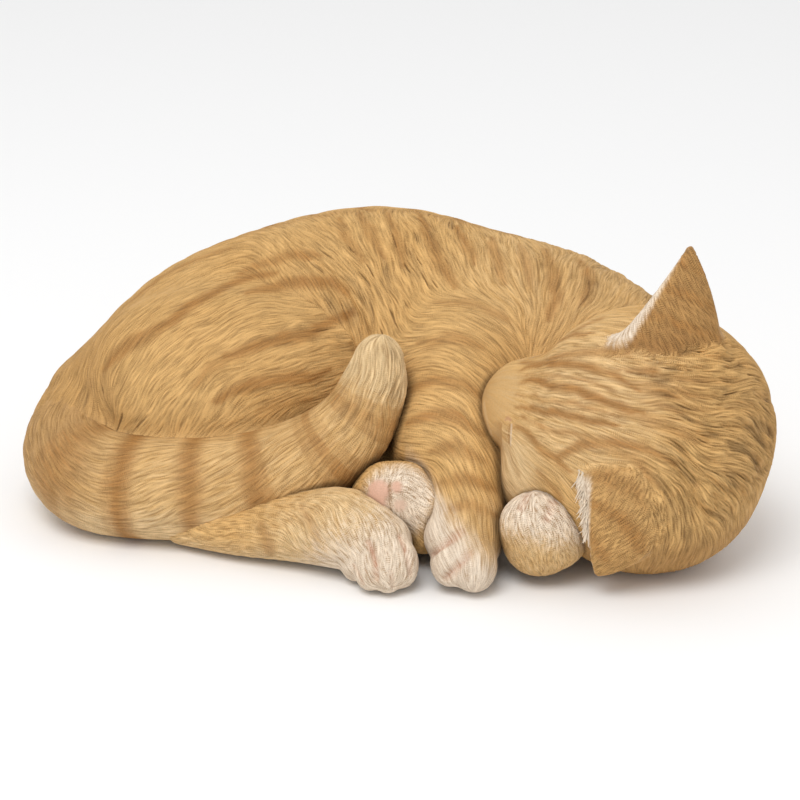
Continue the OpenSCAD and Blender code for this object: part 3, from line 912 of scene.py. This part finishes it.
def body_zones(p, n):
    x, y, z = p.T
    P = cols(p)
    stripe = marks(p, f_body_solid, BODY_MARKS)
    # the far side: ribs that leave the spine and fade towards the ground
    loose = p + 3.0 * np.stack([noise(p.astype(F32), 8.0, 31 + i) for i in range(3)], 1)
    for k in range(10):
        x0, sway = -112 + 22.5 * k, 6.0 * math.sin(2.1 * k)
        rib = np.array([(x0 + 8, 56, 118), (x0 + 2, 78, 104), (x0 - 4 + 0.5 * sway, 98, 78), (x0 - 5 + sway, 108, 52), (x0 + sway, 110, 30 - 6 * (k % 3))], float)
        rib = onto(f_body_solid, curve(np.concatenate([rib, np.ones((5, 1))], 1), 4)[:, :3])
        far = line_dist(loose, rib, 14.0, True)
        stripe = np.maximum(stripe, (0.8 - 0.15 * (k % 2)) * smooth(48, 62, y) * (1 - smooth(1.0, 6.2, far)))
    spine = smooth(7, 1, np.abs(loose[:, 1] - 60 - 0.06 * x)) * smooth(90, 100, z)
    stripe = np.maximum(stripe, 0.3 * spine)
    # pale toes of the near foreleg
    near = smooth(-50, -58, y) * (x < 50) * (x > 2)
    white = near * smooth(41, 27, z + 0.85 * (x - 15))
    # belly side, under the curl
    amp = (1 - 0.3 * white) * smooth(0.0, 6.0, z)
    under = (flat_d(P, 4.0) < 0) & (z < 6.5)
    well = (np.hypot(x - VENT_AT[0], y - VENT_AT[1]) < 14.5) & (z < 22)
    amp[under | well] = 0
    spots = trace(f_body_solid, [(355, 290), (385, 300), (420, 240), (112, 420), (72, 405)])
    folds = np.clip(blob(p, spots[0], 24, 0.6) + blob(p, spots[1], 20, 0.6) + 0.6 * blob(p, spots[2], 32, 0.6), 0, 1)
    root = np.clip(blob(p, spots[3], 17, 0.6) + blob(p, spots[4], 19, 0.6), 0, 1)
    right = smooth(40, 80, x) * smooth(60, 90, z)
    # the umber here is partly painted shade, darkening the body towards its left end; the rest sits on the fur by the
    # head and low on the near foreleg
    return dict(stripe=0.9 * stripe, white=white * 0.95, amp=amp * (1 + 0.35 * folds + 0.35 * right), slit=0.12 + 0.85 * folds + 0.8 * root + 0.35 * right,
                clump=0.10 + 0.45 * folds + 0.40 * right + 0.3 * root, umber=0.15 * right + 0.25 * smooth(-108, -130, x) + 0.06 * smooth(-10, -40, x) + 0.16 * near * smooth(40, 26, z), cream=0.25 * near * smooth(40, 26, z) + 0.16 * smooth(10, 50, x) * smooth(70, 30, y) * smooth(75, 95, z))


def body_lines():
    out = []
    for pts, half, deep, s in (([(429, 556), (438, 548), (449, 541), (460, 532)], 2.0, 1.2, 0.32), ([(430, 555), (440, 547), (450, 540)], 0.7, 0.35, 0.28),
                               ([(446, 579), (453, 572), (461, 563), (469, 553)], 2.0, 1.1, 0.28), ([(446, 579), (454, 571), (462, 562)], 0.6, 0.3, 0.22)):
        out.append((drawn(f_body_solid, [pts])[0], half, 1.3 * deep, PINK_DEEP, 1.5 * s))
    return out


# ------------------------------------------------------------------ head
HEAD_LIE = [
    [(527, 362), (560, 350), (600, 345), (622, 352)],
    [(525, 375), (560, 372), (600, 374), (640, 385), (690, 388), (740, 392)],
    [(522, 392), (560, 395), (600, 403), (640, 415), (690, 420), (745, 420)],
    [(518, 410), (560, 418), (600, 428), (650, 445), (690, 475), (715, 505)],
    [(515, 425), (550, 438), (585, 448), (630, 455), (665, 485), (680, 525), (675, 555)],
    [(514, 432), (535, 452), (560, 472), (575, 490)],
    [(512, 445), (520, 462), (540, 485), (556, 500)],
    [(503, 450), (505, 468), (512, 485)],
    [(600, 455), (640, 470), (660, 500), (664, 530), (655, 560)],
    [(690, 372), (720, 378), (750, 388)],
    [(700, 440), (735, 455), (755, 475)],
    [(660, 440), (705, 470), (735, 500), (740, 512)],
    [(640, 362), (690, 366), (735, 368)],
]
HEAD_MARKS = [
    ([(521, 371), (545, 363), (566, 362), (592, 367), (618, 378), (640, 390)], 2.2, 0.95),
    ([(517, 382), (540, 381), (562, 387), (590, 395), (620, 405), (645, 416)], 2.2, 0.95),
    ([(516, 409), (540, 410), (563, 415), (590, 420), (618, 426)], 2.0, 0.92),
    ([(514, 427), (534, 440), (551, 456), (570, 470)], 2.0, 0.80),
    ([(558, 456), (580, 446), (610, 441), (645, 447), (676, 466)], 2.5, 0.75),
    ([(600, 446), (640, 462), (658, 486)], 2.2, 0.5),
    ([(536, 470), (552, 486), (562, 500)], 2.1, 0.55),
    ([(630, 384), (670, 392), (712, 396)], 3.2, 0.45),
    ([(618, 408), (665, 425), (705, 442)], 3.2, 0.45),
    ([(521, 358), (548, 346), (572, 336), (594, 333)], 1.7, 0.80),
    ([(519, 376), (552, 374), (586, 380), (620, 392)], 1.2, 0.55),
    ([(516, 395), (556, 401), (590, 408), (622, 416)], 1.4, 0.60),
    ([(516, 418), (548, 428), (580, 437), (610, 440)], 1.4, 0.60),
    ([(640, 400), (680, 410), (720, 412)], 1.8, 0.38),
    ([(650, 372), (690, 380), (730, 384)], 1.8, 0.38),
]


def ruff_zone(p):
    c = trace(f_head_plain, [(742, 400), (735, 450), (700, 372), (690, 500), (660, 362)])
    return np.clip(blob(p, c[0], 30, 0.5) + blob(p, c[1], 26, 0.5) + 0.8 * blob(p, c[2], 18, 0.5) + 0.5 * blob(p, c[3], 24, 0.5) + 0.4 * blob(p, c[4], 12, 0.5), 0, 1)


def head_lie(p, n):
    lines = drawn(f_head_plain, HEAD_LIE)
    default = rows_unit(p - face(22, 0, 0))
    return flow_field(p, lines, tangent(default, n), soft=8.0), 0.85 + 0.45 * ruff_zone(p)


def head_zones(p, n):
    w = (p - MUZZLE) @ FACE_M
    f, l, u = w.T
    x, y, z = p.T
    stripe = marks(p, f_head_plain, HEAD_MARKS)
    for q, (_, half, s) in zip(drawn(f_head_plain, [t[0] for t in HEAD_MARKS[:4]]), HEAD_MARKS[:4]):
        if q is not None:
            g = onto(f_head_plain, mirrored(q) + np.array([3.0, 14.0, 5.0]))
            stripe = np.maximum(stripe, 0.7 * s * (1 - smooth(half * 0.25, half * 1.75, line_dist(p, g))) * (l > 14))
    back = smooth(-30, -10, y) * smooth(20, 50, z)
    stripe = np.maximum(stripe, 0.45 * back * smooth(0.3, 1.0, np.cos((x + 0.4 * z) / 17 * 2 * math.pi)))
    spots = trace(f_head_plain, [(494, 398), (500, 384), (500, 440)])
    rag = p + 2.6 * np.stack([noise(p.astype(F32), 3.6, 61 + i) for i in range(3)], 1)
    bridge = np.clip(blob(rag, spots[0], 10.8, 0.42) + blob(rag, spots[1], 8.8, 0.42) + blob(rag, spots[2], 6.2, 0.4), 0, 1)
    muzzle = np.clip(np.maximum(bridge, smooth(8, 15, f)), 0, 1)
    pads = smooth(6, 13, f) * smooth(0, -6, u)
    nose = blob(p, face(22, 0, 2.5), 5.4, 0.25)
    cheek = blob(p, trace(f_head_plain, [(512, 472)])[0], 15, 0.6)
    ruff = ruff_zone(p)
    # painted highlight: the crown is lightened with cream as if lit from above
    crown = blob(p, trace(f_head_plain, [(580, 390)])[0], 32, 0.7)
    # painted shade: the head darkens towards its underside and towards its far side, laid as umber
    dark = np.clip(0.55 * smooth(34, 12, z) + 0.30 * smooth(120, 145, x) + 0.25 * smooth(36, 20, z) * smooth(90, 120, x), 0, 0.62)
    calm = np.clip(blob(p, spots[0], 24, 0.5) + blob(p, trace(f_head_plain, [(515, 465)])[0], 17, 0.6), 0, 1)
    return dict(stripe=stripe * (1 - 0.8 * muzzle), amp=(1 - 0.80 * np.maximum(muzzle, nose)) * (1 - 0.42 * calm) * (1 + 1.2 * ruff) * smooth(0, 5, z), slit=0.08 + 0.6 * ruff,
                clump=0.12 + 0.95 * ruff, cream=np.clip(0.16 * muzzle + 0.70 * cheek + 0.42 * crown, 0, 0.8) * (1 - pads), white=pads, pink=0.9 * nose, umber=np.maximum(dark * 0.7, 0.14 * muzzle), lift=0.7 * (1 - muzzle) * blob(p, spots[0], 17, 0.5))


FACE_LINES = [   # photo-frame points, half width, depth, paint, strength
    ([(507.0, 427), (506.4, 440), (507.4, 452), (511.0, 464), (517.0, 475)], 1.9, 0.45, UMBER, 0.34),
    ([(509.6, 424), (508.8, 434), (508.8, 445)], 0.6, 0.35, UMBER, 0.45),
    # a painted highlight in white along the lid's rim
    ([(511.9, 425), (511.1, 434), (510.6, 445)], 0.48, -0.22, WHITE, 0.6),
    ([(506.5, 419.5), (508.6, 418), (510.6, 420)], 0.9, 0.3, PINK_DEEP, 0.55),
    ([(500.0, 427), (499.0, 438), (498.6, 450)], 2.2, 0.4, UMBER, 0.28),
]


def head_lines():
    out = []
    for pts, half, deep, tint, s in FACE_LINES:
        q = drawn(f_head, [pts])[0]
        far = onto(f_head, mirrored(q) + np.array([3.0, 14.0, 5.0]))
        out += [(q, half, deep, tint, s), (far, half, deep, tint, s)]
    for line in MOUTH:
        out.append((onto(f_head, line), 0.8, 0.8, WASH_AND_SHADE, 0.6))
    # a painted highlight in cream along the edge of the nose
    out.append((drawn(f_head, [[(484, 403), (485.5, 414), (488.5, 425), (491, 433)]])[0], 1.2, 0.0, CREAM, 0.45))
    return out


# ------------------------------------------------------------------ tail
TAIL_LEN = np.concatenate([[0.0], np.cumsum(np.linalg.norm(np.diff(TAIL[:, :3], axis=0), axis=1))])


def tail_at(k):
    """Arc length at a control point of the tail; these lie 5 steps apart."""
    return float(np.interp(k * 5.0, np.arange(len(TAIL_LEN)), TAIL_LEN))


TAIL_BANDS = [((62, 450), 6.0, 0.5), ((118, 492), 5.0, 0.95), ((187, 482), 5.2, 0.85), ((252, 470), 5.2, 0.85), ((313, 447), 5.0, 0.66), ((360, 412), 6.0, 0.55)]


def tail_lie(p, n):
    pos, tan, total = along(cols(p), TAIL)
    down = tangent(np.repeat(np.array([[0, 0, -1.0]]), len(p), 0), n)
    side = smooth(6, 20, p[:, 2]) * smooth(-135, -112, p[:, 0]) * smooth(0.2, -0.5, n[:, 1])
    return tangent(tan, n) + (0.2 - 0.62 * side)[:, None] * down, 0.85 + 0.5 * smooth(total - 60, total - 20, pos)


def tail_zones(p, n):
    pos, tan, total = along(cols(p), TAIL)
    q = pos + 4.0 * noise(p.astype(F32), 16.0, 41)
    m = np.zeros(len(p))
    at, _, _ = along(cols(trace(f_tail, [b[0] for b in TAIL_BANDS])), TAIL)
    for mid, (_, half, st) in zip(at, TAIL_BANDS):
        m = np.maximum(m, st * (1 - smooth(0, half * 1.7, np.abs(q - mid))))
    tip = smooth(tail_at(6.5), tail_at(7.2), q)
    z = p[:, 2]
    # the umber is painted shade darkening the tail towards its left end, with a faint umber along its top
    return dict(stripe=m, cream=np.clip(0.18 + 0.62 * tip + 0.62 * smooth(28, 8, z), 0, 1), amp=(1 + 0.6 * tip) * smooth(0, 5, z), slit=0.08 + 0.35 * tip,
                clump=0.1 + 0.35 * smooth(tail_at(5.2), tail_at(6.6), q), umber=0.42 * smooth(-112, -140, p[:, 0]) * smooth(6, 26, z) + 0.07 * smooth(20, 34, z) * (1 - tip))


# ------------------------------------------------------------------ paws and ears
def hind_lie(p, n):
    pos, tan, total = along(cols(p), HIND)
    toes = smooth(-74, -86, p[:, 1])[:, None]
    slant = 0.6 * smooth(-70, -40, p[:, 0])[:, None] * (1 - toes)
    return tangent(tan * (1 - toes) + toes * np.array([0.25, -0.75, -0.55]) + slant * np.array([0.0, 0.0, -1.0]), n), 1.1


def hind_zones(p, n):
    pos, tan, total = along(cols(p), HIND)
    q = pos + 0.9 * (18 - p[:, 2])
    white = smooth(total * 0.64, total * 1.0, q)
    stripe = marks(p, f_hind, [([(262, 524), (268, 542), (270, 555)], 2.6, 0.45), ([(300, 506), (312, 526), (318, 546)], 2.6, 0.4)])
    return dict(stripe=stripe, white=white * 0.9, cream=np.clip(0.05 + 0.55 * smooth(total * 0.34, total * 0.7, q) + 0.5 * smooth(13, 3, p[:, 2]), 0, 0.85),
                amp=(0.95 - 0.15 * white) * smooth(0, 4, p[:, 2]), slit=np.full(len(p), 0.15), clump=np.full(len(p), 0.1))


def hind_lines():
    out = []
    for pts, half, deep, s in (([(368, 542), (373, 552), (375.5, 564), (376, 579)], 1.4, 0.9, 0.32), ([(368, 542), (373, 553), (375, 565)], 0.6, 0.3, 0.55),
                               ([(400, 536), (405, 548), (409, 562), (411, 574)], 1.4, 0.8, 0.3), ([(400, 536), (406, 550)], 0.6, 0.3, 0.5), ([(354, 566), (359, 576), (362, 583)], 1.2, 0.7, 0.25),
                               ([(391, 572), (393, 588)], 1.2, 0.7, 0.2)):
        out.append((drawn(f_hind, [pts])[0], half, 1.35 * deep, PINK_DEEP, 1.25 * s))
    return out


FAR_PADS = [((379, 491), 4.4, 1.3), ((375, 503), 4.8, 1.3), ((397, 487), 2.3, 1.1), ((400, 505), 2.6, 0.3)]


def far_lie(p, n):
    c = trace(f_far_paw, [(389, 499)])[0]
    return tangent(rows_unit(p - c) + np.array([0.25, 0.0, -0.25]), n), 3.2


def far_zones(p, n):
    c = trace(f_far_paw, [(400, 499)])[0]
    white = blob(p, c, 14.5, 0.35)
    amp, lift, pink = np.full(len(p), 0.95), np.zeros(len(p)), np.zeros(len(p))
    for (px, r, up), s in zip(FAR_PADS, (0.85, 0.85, 0.8, 0.45)):
        g = blob(p, trace(f_far_paw, [px])[0], r, 0.3)
        pink = np.maximum(pink, s * g)
        lift = np.maximum(lift, up * g)
        amp *= 1 - 0.9 * g
    return dict(white=white * 0.92, pink=pink, lift=lift, amp=amp * smooth(0, 4, p[:, 2]), slit=np.full(len(p), 0.15), clump=np.full(len(p), 0.12))


def far_lines():
    return [(drawn(f_far_paw, [[(389.5, 481), (390, 492), (390.5, 503), (391.5, 514)]])[0], 0.55, 0.7, UMBER, 0.4)]


def tuck_lie(p, n):
    return tangent(np.repeat(np.array([[0.25, -0.15, -0.95]]), len(p), 0), n), 1.6


def tuck_zones(p, n):
    z = p[:, 2] + 0.12 * (p[:, 0] - 58)
    split = float(np.nanmean(trace(f_tucked, [(520, 532), (560, 545)])[:, 2]))
    white = smooth(split - 8, split + 8, z)
    # the umber is painted shade, darkening the paw towards the floor
    return dict(white=white * 0.92, cream=np.full(len(p), 0.34), umber=0.22 * smooth(12, 4, p[:, 2]), amp=np.full(len(p), 0.95) * smooth(0, 4, p[:, 2]), slit=np.full(len(p), 0.2), clump=np.full(len(p), 0.12))


def tuck_lines():
    out = []
    for pts, half, deep, s in (([(529, 487), (526, 496), (521, 507)], 2.2, 0.6, 0.5), ([(553, 501), (551, 510), (547, 519)], 1.8, 0.7, 0.45)):
        out.append((drawn(f_tucked, [pts])[0], half, deep, PINK_DEEP, s))
    return out


def ear_parts(e):
    base, tip = np.array(e["base"], float), np.array(e["tip"], float)
    a = unit(tip - base)
    s = np.array(e["side"], float)
    s = unit(s - a * (s @ a))
    return base, tip, a, s, np.cross(a, s), np.linalg.norm(tip - base)


def foot_share(e, p):
    """From 0 on the ear itself to 1 on the foot that runs out over the head; hair from inside the ear covers more of it."""
    base, tip, a, s, nn, ln = ear_parts(e)
    own = f_ear(cols(p), **e).astype(float) + 0.8 * noise(p.astype(F32), 5.0, 51)
    u, w = (p - base) @ a / ln, (p - base) @ s
    tuft = smooth(0.0, 6.0, w * e["open_side"]) * smooth(0.0, 0.16, u)
    return smooth(0.1 + 1.2 * tuft, 1.6 + 1.6 * tuft, own)


def ear_lie_for(e, fan):
    def lie(p, n):
        base, tip, a, s, nn, ln = ear_parts(e)
        k = foot_share(e, p)
        d, wave = head_lie(p, n)
        own = tangent(rows_unit(tip + a * 30 - p) + fan * s, n)
        return own * (1 - k)[:, None] + rows_unit(d) * k[:, None], 0.8 * (1 - k) + wave * k
    return lie


def ear_zones_for(e, dark, table, field):
    def zones(p, n):
        base, tip, a, s, nn, ln = ear_parts(e)
        u, w = (p - base) @ a / ln, (p - base) @ s
        inner = smooth(0.15, -0.3, n @ nn)
        lt, rt = ear_rims(u, e["left"], e["right"], e["round_side"])
        share = np.abs(w) / np.maximum(np.where(w > 0, rt, lt), 1.0)
        lo = 0.80 + 0.10 * np.clip(u, 0, 1) if e["open_side"] > 0 else np.full(len(u), 0.87)
        edge = np.clip((share - lo) / 0.1, 0, 1)
        edge = edge * edge * (3 - 2 * edge)
        pale = edge * np.where(w * e["open_side"] > 0, 1.0, 0.10) * smooth(-0.02, 0.14, u)
        # umber over the ear and at its tip, and painted shade that darkens its base where it meets the head
        umber = np.clip(dark * (0.62 + 0.36 * smooth(0.35, 0.0, u) + 0.3 * smooth(0.75, 1.0, u)), 0, 0.9) * (1 - 0.9 * pale)
        pink = inner * smooth(0.7, 0.2, share) * 0.7
        bands = marks(p, field, table) if table else 0.42 * smooth(0.0, 1.0, np.cos((u - 0.05 * w / 10) * 2 * math.pi / 0.26)) * smooth(0.05, 0.2, u)
        own = dict(umber=umber, white=np.clip(0.9 * pale + 0.9 * inner, 0, 0.95), pink=pink, stripe=bands * (1 - pale),
                   amp=1.15 * (1 - 0.5 * inner) * (1 - 0.4 * edge), slit=0.08, clump=0.04)
        k = foot_share(e, p)
        head = head_zones(p, n)
        return {q: own.get(q, START[q]) * (1 - k) + head.get(q, START[q]) * k for q in KEYS if q != "hollow"}
    return zones


LOW_EAR_MARKS = [([(588, 502), (604, 510), (622, 520), (636, 538), (640, 552)], 3.6, 0.66), ([(592, 532), (598, 546), (606, 560)], 3.0, 0.5), ([(588, 474), (608, 478), (632, 490), (646, 508)], 2.8, 0.5)]


def fluff(name, e, side, u_range, w_range, count, length, lean, seed, spread=0.0):
    """Pale hair that stands out from inside an ear, along one edge."""
    base, tip, a, s, nn, ln = ear_parts(e)
    rng = np.random.default_rng(seed)
    verts, faces, shade = [], [], []
    rings, sides = 6, 5
    hw = 0.5 * (e["left"] + e["right"])
    roots = []
    for k in range(count):
        u = rng.uniform(*u_range)
        lt, rt = ear_rims(np.array([u]), e["left"], e["right"], e["round_side"])
        w = side * float(rt[0] if side > 0 else lt[0]) * rng.uniform(*w_range)
        mid = -(e["curl_r"] if w > 0 else e["curl"]) * (w / hw) ** 2 + e["bulge"] * math.sin(max(u, 0) * math.pi)
        th = e["t0"] + (e["t1"] - e["t0"]) * max(u, 0)
        root = base + a * u * ln + s * w + nn * (mid - 0.5 * th + rng.uniform(-1.2, 0.9))
        roots.append(root + s * side * spread * rng.uniform(0.0, 1.0) * (1 - 0.6 * (u - u_range[0]) / (u_range[1] - u_range[0])))
    roots = np.array(roots)
    if spread > 0:   # those past the ear's edge grow from the head behind it
        on_head = onto(f_head_plain, roots)
        past = np.abs((roots - base) @ s) > np.array([float(ear_rims(np.array([q]), e["left"], e["right"], e["round_side"])[0 if side < 0 else 1][0]) for q in (roots - base) @ a / ln])
        roots[past] = on_head[past]
    for root in roots:
        go = unit(s * side * lean[0] * rng.uniform(0.2, 1.8) + a * lean[1] + nn * lean[2] + rng.normal(0, 0.17, 3))
        bend = unit(np.cross(go, rng.normal(0, 1, 3))) * rng.uniform(0.3, 1.6)
        le = length * rng.uniform(0.7, 1.2)
        r0 = rng.uniform(0.24, 0.46)
        x = unit(np.cross(go, nn + 0.01))
        y = np.cross(go, x)
        start = len(verts)
        tone = rng.uniform(0.86, 1.04)
        for i in range(rings):
            q = i / (rings - 1)
            c = root + go * le * q + bend * q * q
            r = r0 * (0.55 + 1.3 * q) * (1 - q) ** 0.8 + 0.06
            for j in range(sides):
                g = 2 * math.pi * j / sides
                verts.append(c + x * r * math.cos(g) + y * r * 0.6 * math.sin(g))
                shade.append(tone * (0.78 + 0.22 * q))
        for i in range(rings - 1):
            for j in range(sides):
                j2 = (j + 1) % sides
                faces.append((start + i * sides + j, start + i * sides + j2, start + (i + 1) * sides + j2, start + (i + 1) * sides + j))
        verts.append(root - go * 0.3)
        shade.append(0.65)
        verts.append(root + go * (le + 0.2) + bend)
        shade.append(1.0)
        for j in range(sides):
            j2 = (j + 1) % sides
            faces.append((len(verts) - 2, start + j2, start + j))
            faces.append((len(verts) - 1, start + (rings - 1) * sides + j, start + (rings - 1) * sides + j2))
    me = bpy.data.meshes.new(name)
    me.from_pydata([tuple((np.array(v) + PLACE) * 0.001) for v in verts], [], faces)
    me.update()
    me.polygons.foreach_set("use_smooth", np.ones(len(me.polygons), bool))
    o = link(name, me)
    at = me.attributes.new("coat", "FLOAT_COLOR", "POINT")
    rgba = np.ones((len(verts), 4), F32)
    rgba[:, :3] = np.clip(np.outer(shade, paint(243, 226, 203)), 0, 1)
    at.data.foreach_set("color", rgba.ravel())
    rl = me.attributes.new("relief", "FLOAT", "POINT")
    rl.data.foreach_set("value", np.full(len(verts), 0.5, F32))
    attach(o, "statue")
    PIECES[name] = o
    return o


# ------------------------------------------------------------------ materials
def material(name):
    m = bpy.data.materials.new(name)
    m.use_nodes = True
    nt = m.node_tree
    nt.nodes.clear()
    out = nt.nodes.new("ShaderNodeOutputMaterial")
    b = nt.nodes.new("ShaderNodeBsdfPrincipled")
    nt.links.new(b.outputs[0], out.inputs[0])
    return m, nt, b


def coat_material():
    m, nt, b = material("painted_fur")
    at = nt.nodes.new("ShaderNodeAttribute")
    at.attribute_name = "coat"
    tc = nt.nodes.new("ShaderNodeTexCoord")
    # mottled brushwork
    n1 = nt.nodes.new("ShaderNodeTexNoise")
    n1.inputs["Scale"].default_value = 1900.0
    n1.inputs["Detail"].default_value = 3.0
    nt.links.new(tc.outputs["Object"], n1.inputs["Vector"])
    mr = nt.nodes.new("ShaderNodeMapRange")
    mr.inputs["From Min"].default_value, mr.inputs["From Max"].default_value = 0.25, 0.75
    mr.inputs["To Min"].default_value, mr.inputs["To Max"].default_value = 0.90, 1.10
    nt.links.new(n1.outputs["Fac"], mr.inputs["Value"])
    mul = nt.nodes.new("ShaderNodeVectorMath")
    mul.operation = "SCALE"
    nt.links.new(at.outputs["Color"], mul.inputs[0])
    nt.links.new(mr.outputs[0], mul.inputs["Scale"])
    nt.links.new(mul.outputs[0], b.inputs["Base Color"])
    rl = nt.nodes.new("ShaderNodeAttribute")
    rl.attribute_name = "relief"
    rr = nt.nodes.new("ShaderNodeMapRange")
    rr.inputs["To Min"].default_value, rr.inputs["To Max"].default_value = 0.80, 0.56
    nt.links.new(rl.outputs["Fac"], rr.inputs["Value"])
    nt.links.new(rr.outputs[0], b.inputs["Roughness"])
    b.inputs["Specular IOR Level"].default_value = 0.28
    bp = nt.nodes.new("ShaderNodeBump")
    bp.inputs["Strength"].default_value = 0.2
    bp.inputs["Distance"].default_value = 0.0002
    nt.links.new(n1.outputs["Fac"], bp.inputs["Height"])
    nt.links.new(bp.outputs[0], b.inputs["Normal"])
    return m


def plain_material(name, dark, light, scale, rough, bump, spec=0.3, sheen=0.0, detail=6.0):
    m, nt, b = material(name)
    tc = nt.nodes.new("ShaderNodeTexCoord")
    n1 = nt.nodes.new("ShaderNodeTexNoise")
    n1.inputs["Scale"].default_value = scale
    n1.inputs["Detail"].default_value = detail
    nt.links.new(tc.outputs["Object"], n1.inputs["Vector"])
    cr = nt.nodes.new("ShaderNodeValToRGB")
    cr.color_ramp.elements[0].position, cr.color_ramp.elements[1].position = 0.3, 0.7
    cr.color_ramp.elements[0].color = (*dark, 1)
    cr.color_ramp.elements[1].color = (*light, 1)
    nt.links.new(n1.outputs["Fac"], cr.inputs[0])
    nt.links.new(cr.outputs[0], b.inputs["Base Color"])
    rr = nt.nodes.new("ShaderNodeMapRange")
    rr.inputs["To Min"].default_value, rr.inputs["To Max"].default_value = rough[0], rough[1]
    nt.links.new(n1.outputs["Fac"], rr.inputs["Value"])
    nt.links.new(rr.outputs[0], b.inputs["Roughness"])
    b.inputs["Specular IOR Level"].default_value = spec
    if sheen:
        b.inputs["Sheen Weight"].default_value = sheen
    bp = nt.nodes.new("ShaderNodeBump")
    bp.inputs["Strength"].default_value = bump
    bp.inputs["Distance"].default_value = 0.0004
    nt.links.new(n1.outputs["Fac"], bp.inputs["Height"])
    nt.links.new(bp.outputs[0], b.inputs["Normal"])
    return m


# ------------------------------------------------------------------ build
fur_piece("body_fur", f_body, (-162, -110, -4), (146, 116, 122), 1.72, body_lie, body_zones, "body_shell", body_lines(), (0.31, 0.9), 1.05, 5)
fur_piece("head_fur", f_head, (28, -116, -4), (160, -2, 142), 1.55, head_lie, head_zones, "head_shell", head_lines(), (0.33, 0.95), 1.05, 5)
fur_piece("tail_fur", f_tail, (-168, -68, -4), (14, 48, 98), 1.68, tail_lie, tail_zones, "tail", (), (0.34, 0.95), 1.0, 5)
fur_piece("near_hind_fur", f_hind, (-104, -108, -4), (16, -34, 42), 1.4, hind_lie, hind_zones, "near_hind_leg", hind_lines(), (0.30, 0.7), 0.5, 6)
fur_piece("far_hind_paw_fur", f_far_paw, (-28, -84, -3), (26, -36, 50), 1.3, far_lie, far_zones, "far_hind_paw", far_lines(), (0.30, 0.7), 0.36, 6)
fur_piece("tucked_paw_fur", f_tucked, (36, -102, -3), (82, -62, 46), 1.3, tuck_lie, tuck_zones, "tucked_forepaw", tuck_lines(), (0.30, 0.7), 0.40, 6)
fur_piece("upper_ear_fur", f_ear_a, (74, -108, 70), (152, -40, 144), 1.3, ear_lie_for(EAR_A, 0.8), ear_zones_for(EAR_A, 0.9, None, f_ear_a), "upper_ear", (), (0.34, 0.9), 0.5, 6)
fur_piece("lower_ear_fur", f_ear_b, (60, -120, 1), (124, -74, 80), 1.3, ear_lie_for(EAR_B, -0.6), ear_zones_for(EAR_B, 0.34, LOW_EAR_MARKS, f_ear_b), "lower_ear", (), (0.34, 0.9), 0.4, 6)
fluff("upper_ear_fluff", EAR_A, 1, (0.0, 0.36), (0.20, 0.78), 200, 4.0, (-0.2, 0.85, -0.35), 5)
fluff("lower_ear_fluff", EAR_B, -1, (0.05, 0.58), (0.88, 1.0), 420, 6.0, (-0.10, 0.95, 0.02), 6, 3.9)

COAT = coat_material()
for o in PIECES.values():
    o.data.materials.clear()
    o.data.materials.append(COAT)

RESIN = plain_material("bare_resin", (0.30, 0.24, 0.17), (0.44, 0.37, 0.28), 220.0, (0.55, 0.8), 0.4)
FELT = plain_material("felt", (0.035, 0.055, 0.04), (0.10, 0.14, 0.105), 1500.0, (0.9, 1.0), 0.9, spec=0.1, sheen=0.4, detail=10.0)
RUBBER = plain_material("rubber", (0.012, 0.012, 0.012), (0.035, 0.034, 0.033), 500.0, (0.55, 0.8), 0.3, spec=0.35)
for node, mat in (("base_plate", RESIN), ("base_felt", FELT), ("vent_plug", RUBBER)):
    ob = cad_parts[node]
    ob.data.materials.clear()
    ob.data.materials.append(mat)

# ------------------------------------------------------------------ studio
floor_me = new_mesh("floor", np.array([(-6, -6, -0.0005), (6, -6, -0.0005), (6, 6, -0.0005), (-6, 6, -0.0005)]), np.array([[0, 1, 2, 3]]))
floor = link("floor", floor_me)
fm, fnt, fb = material("floor_paint")
fb.inputs["Base Color"].default_value = (0.92, 0.92, 0.92, 1)
fb.inputs["Roughness"].default_value = 0.9
fb.inputs["Specular IOR Level"].default_value = 0.1
floor.data.materials.append(fm)

world = bpy.data.worlds.new("studio")
bpy.context.scene.world = world
world.use_nodes = True
bg = world.node_tree.nodes["Background"]
bg.inputs["Color"].default_value = (1, 1, 1, 1)
bg.inputs["Strength"].default_value = 0.80


def area_light(name, at, aim, size, power):
    li = bpy.data.lights.new(name, "AREA")
    li.size = size
    li.energy = power
    o = bpy.data.objects.new(name, li)
    bpy.context.scene.collection.objects.link(o)
    o.location = at
    o.rotation_euler = (Vector(aim) - Vector(at)).to_track_quat("-Z", "Y").to_euler()
    return o


area_light("key", (-0.3, -0.9, 1.5), (0, 0, 0.05), 0.9, 14.5)

cam = bpy.data.cameras.new("camera")
cam.sensor_width = 36.0
cam.lens = FOCAL / 800.0 * 36.0
cam_o = bpy.data.objects.new("camera", cam)
bpy.context.scene.collection.objects.link(cam_o)
cam_o.location = Vector((EYE + PLACE) * 0.001)
cam_o.rotation_mode = "QUATERNION"
cam_o.rotation_quaternion = Vector(-BACK).to_track_quat("-Z", "Y")
cam.clip_start, cam.clip_end = 0.01, 50
bpy.context.scene.camera = cam_o
bpy.context.scene.view_settings.view_transform = "Standard"
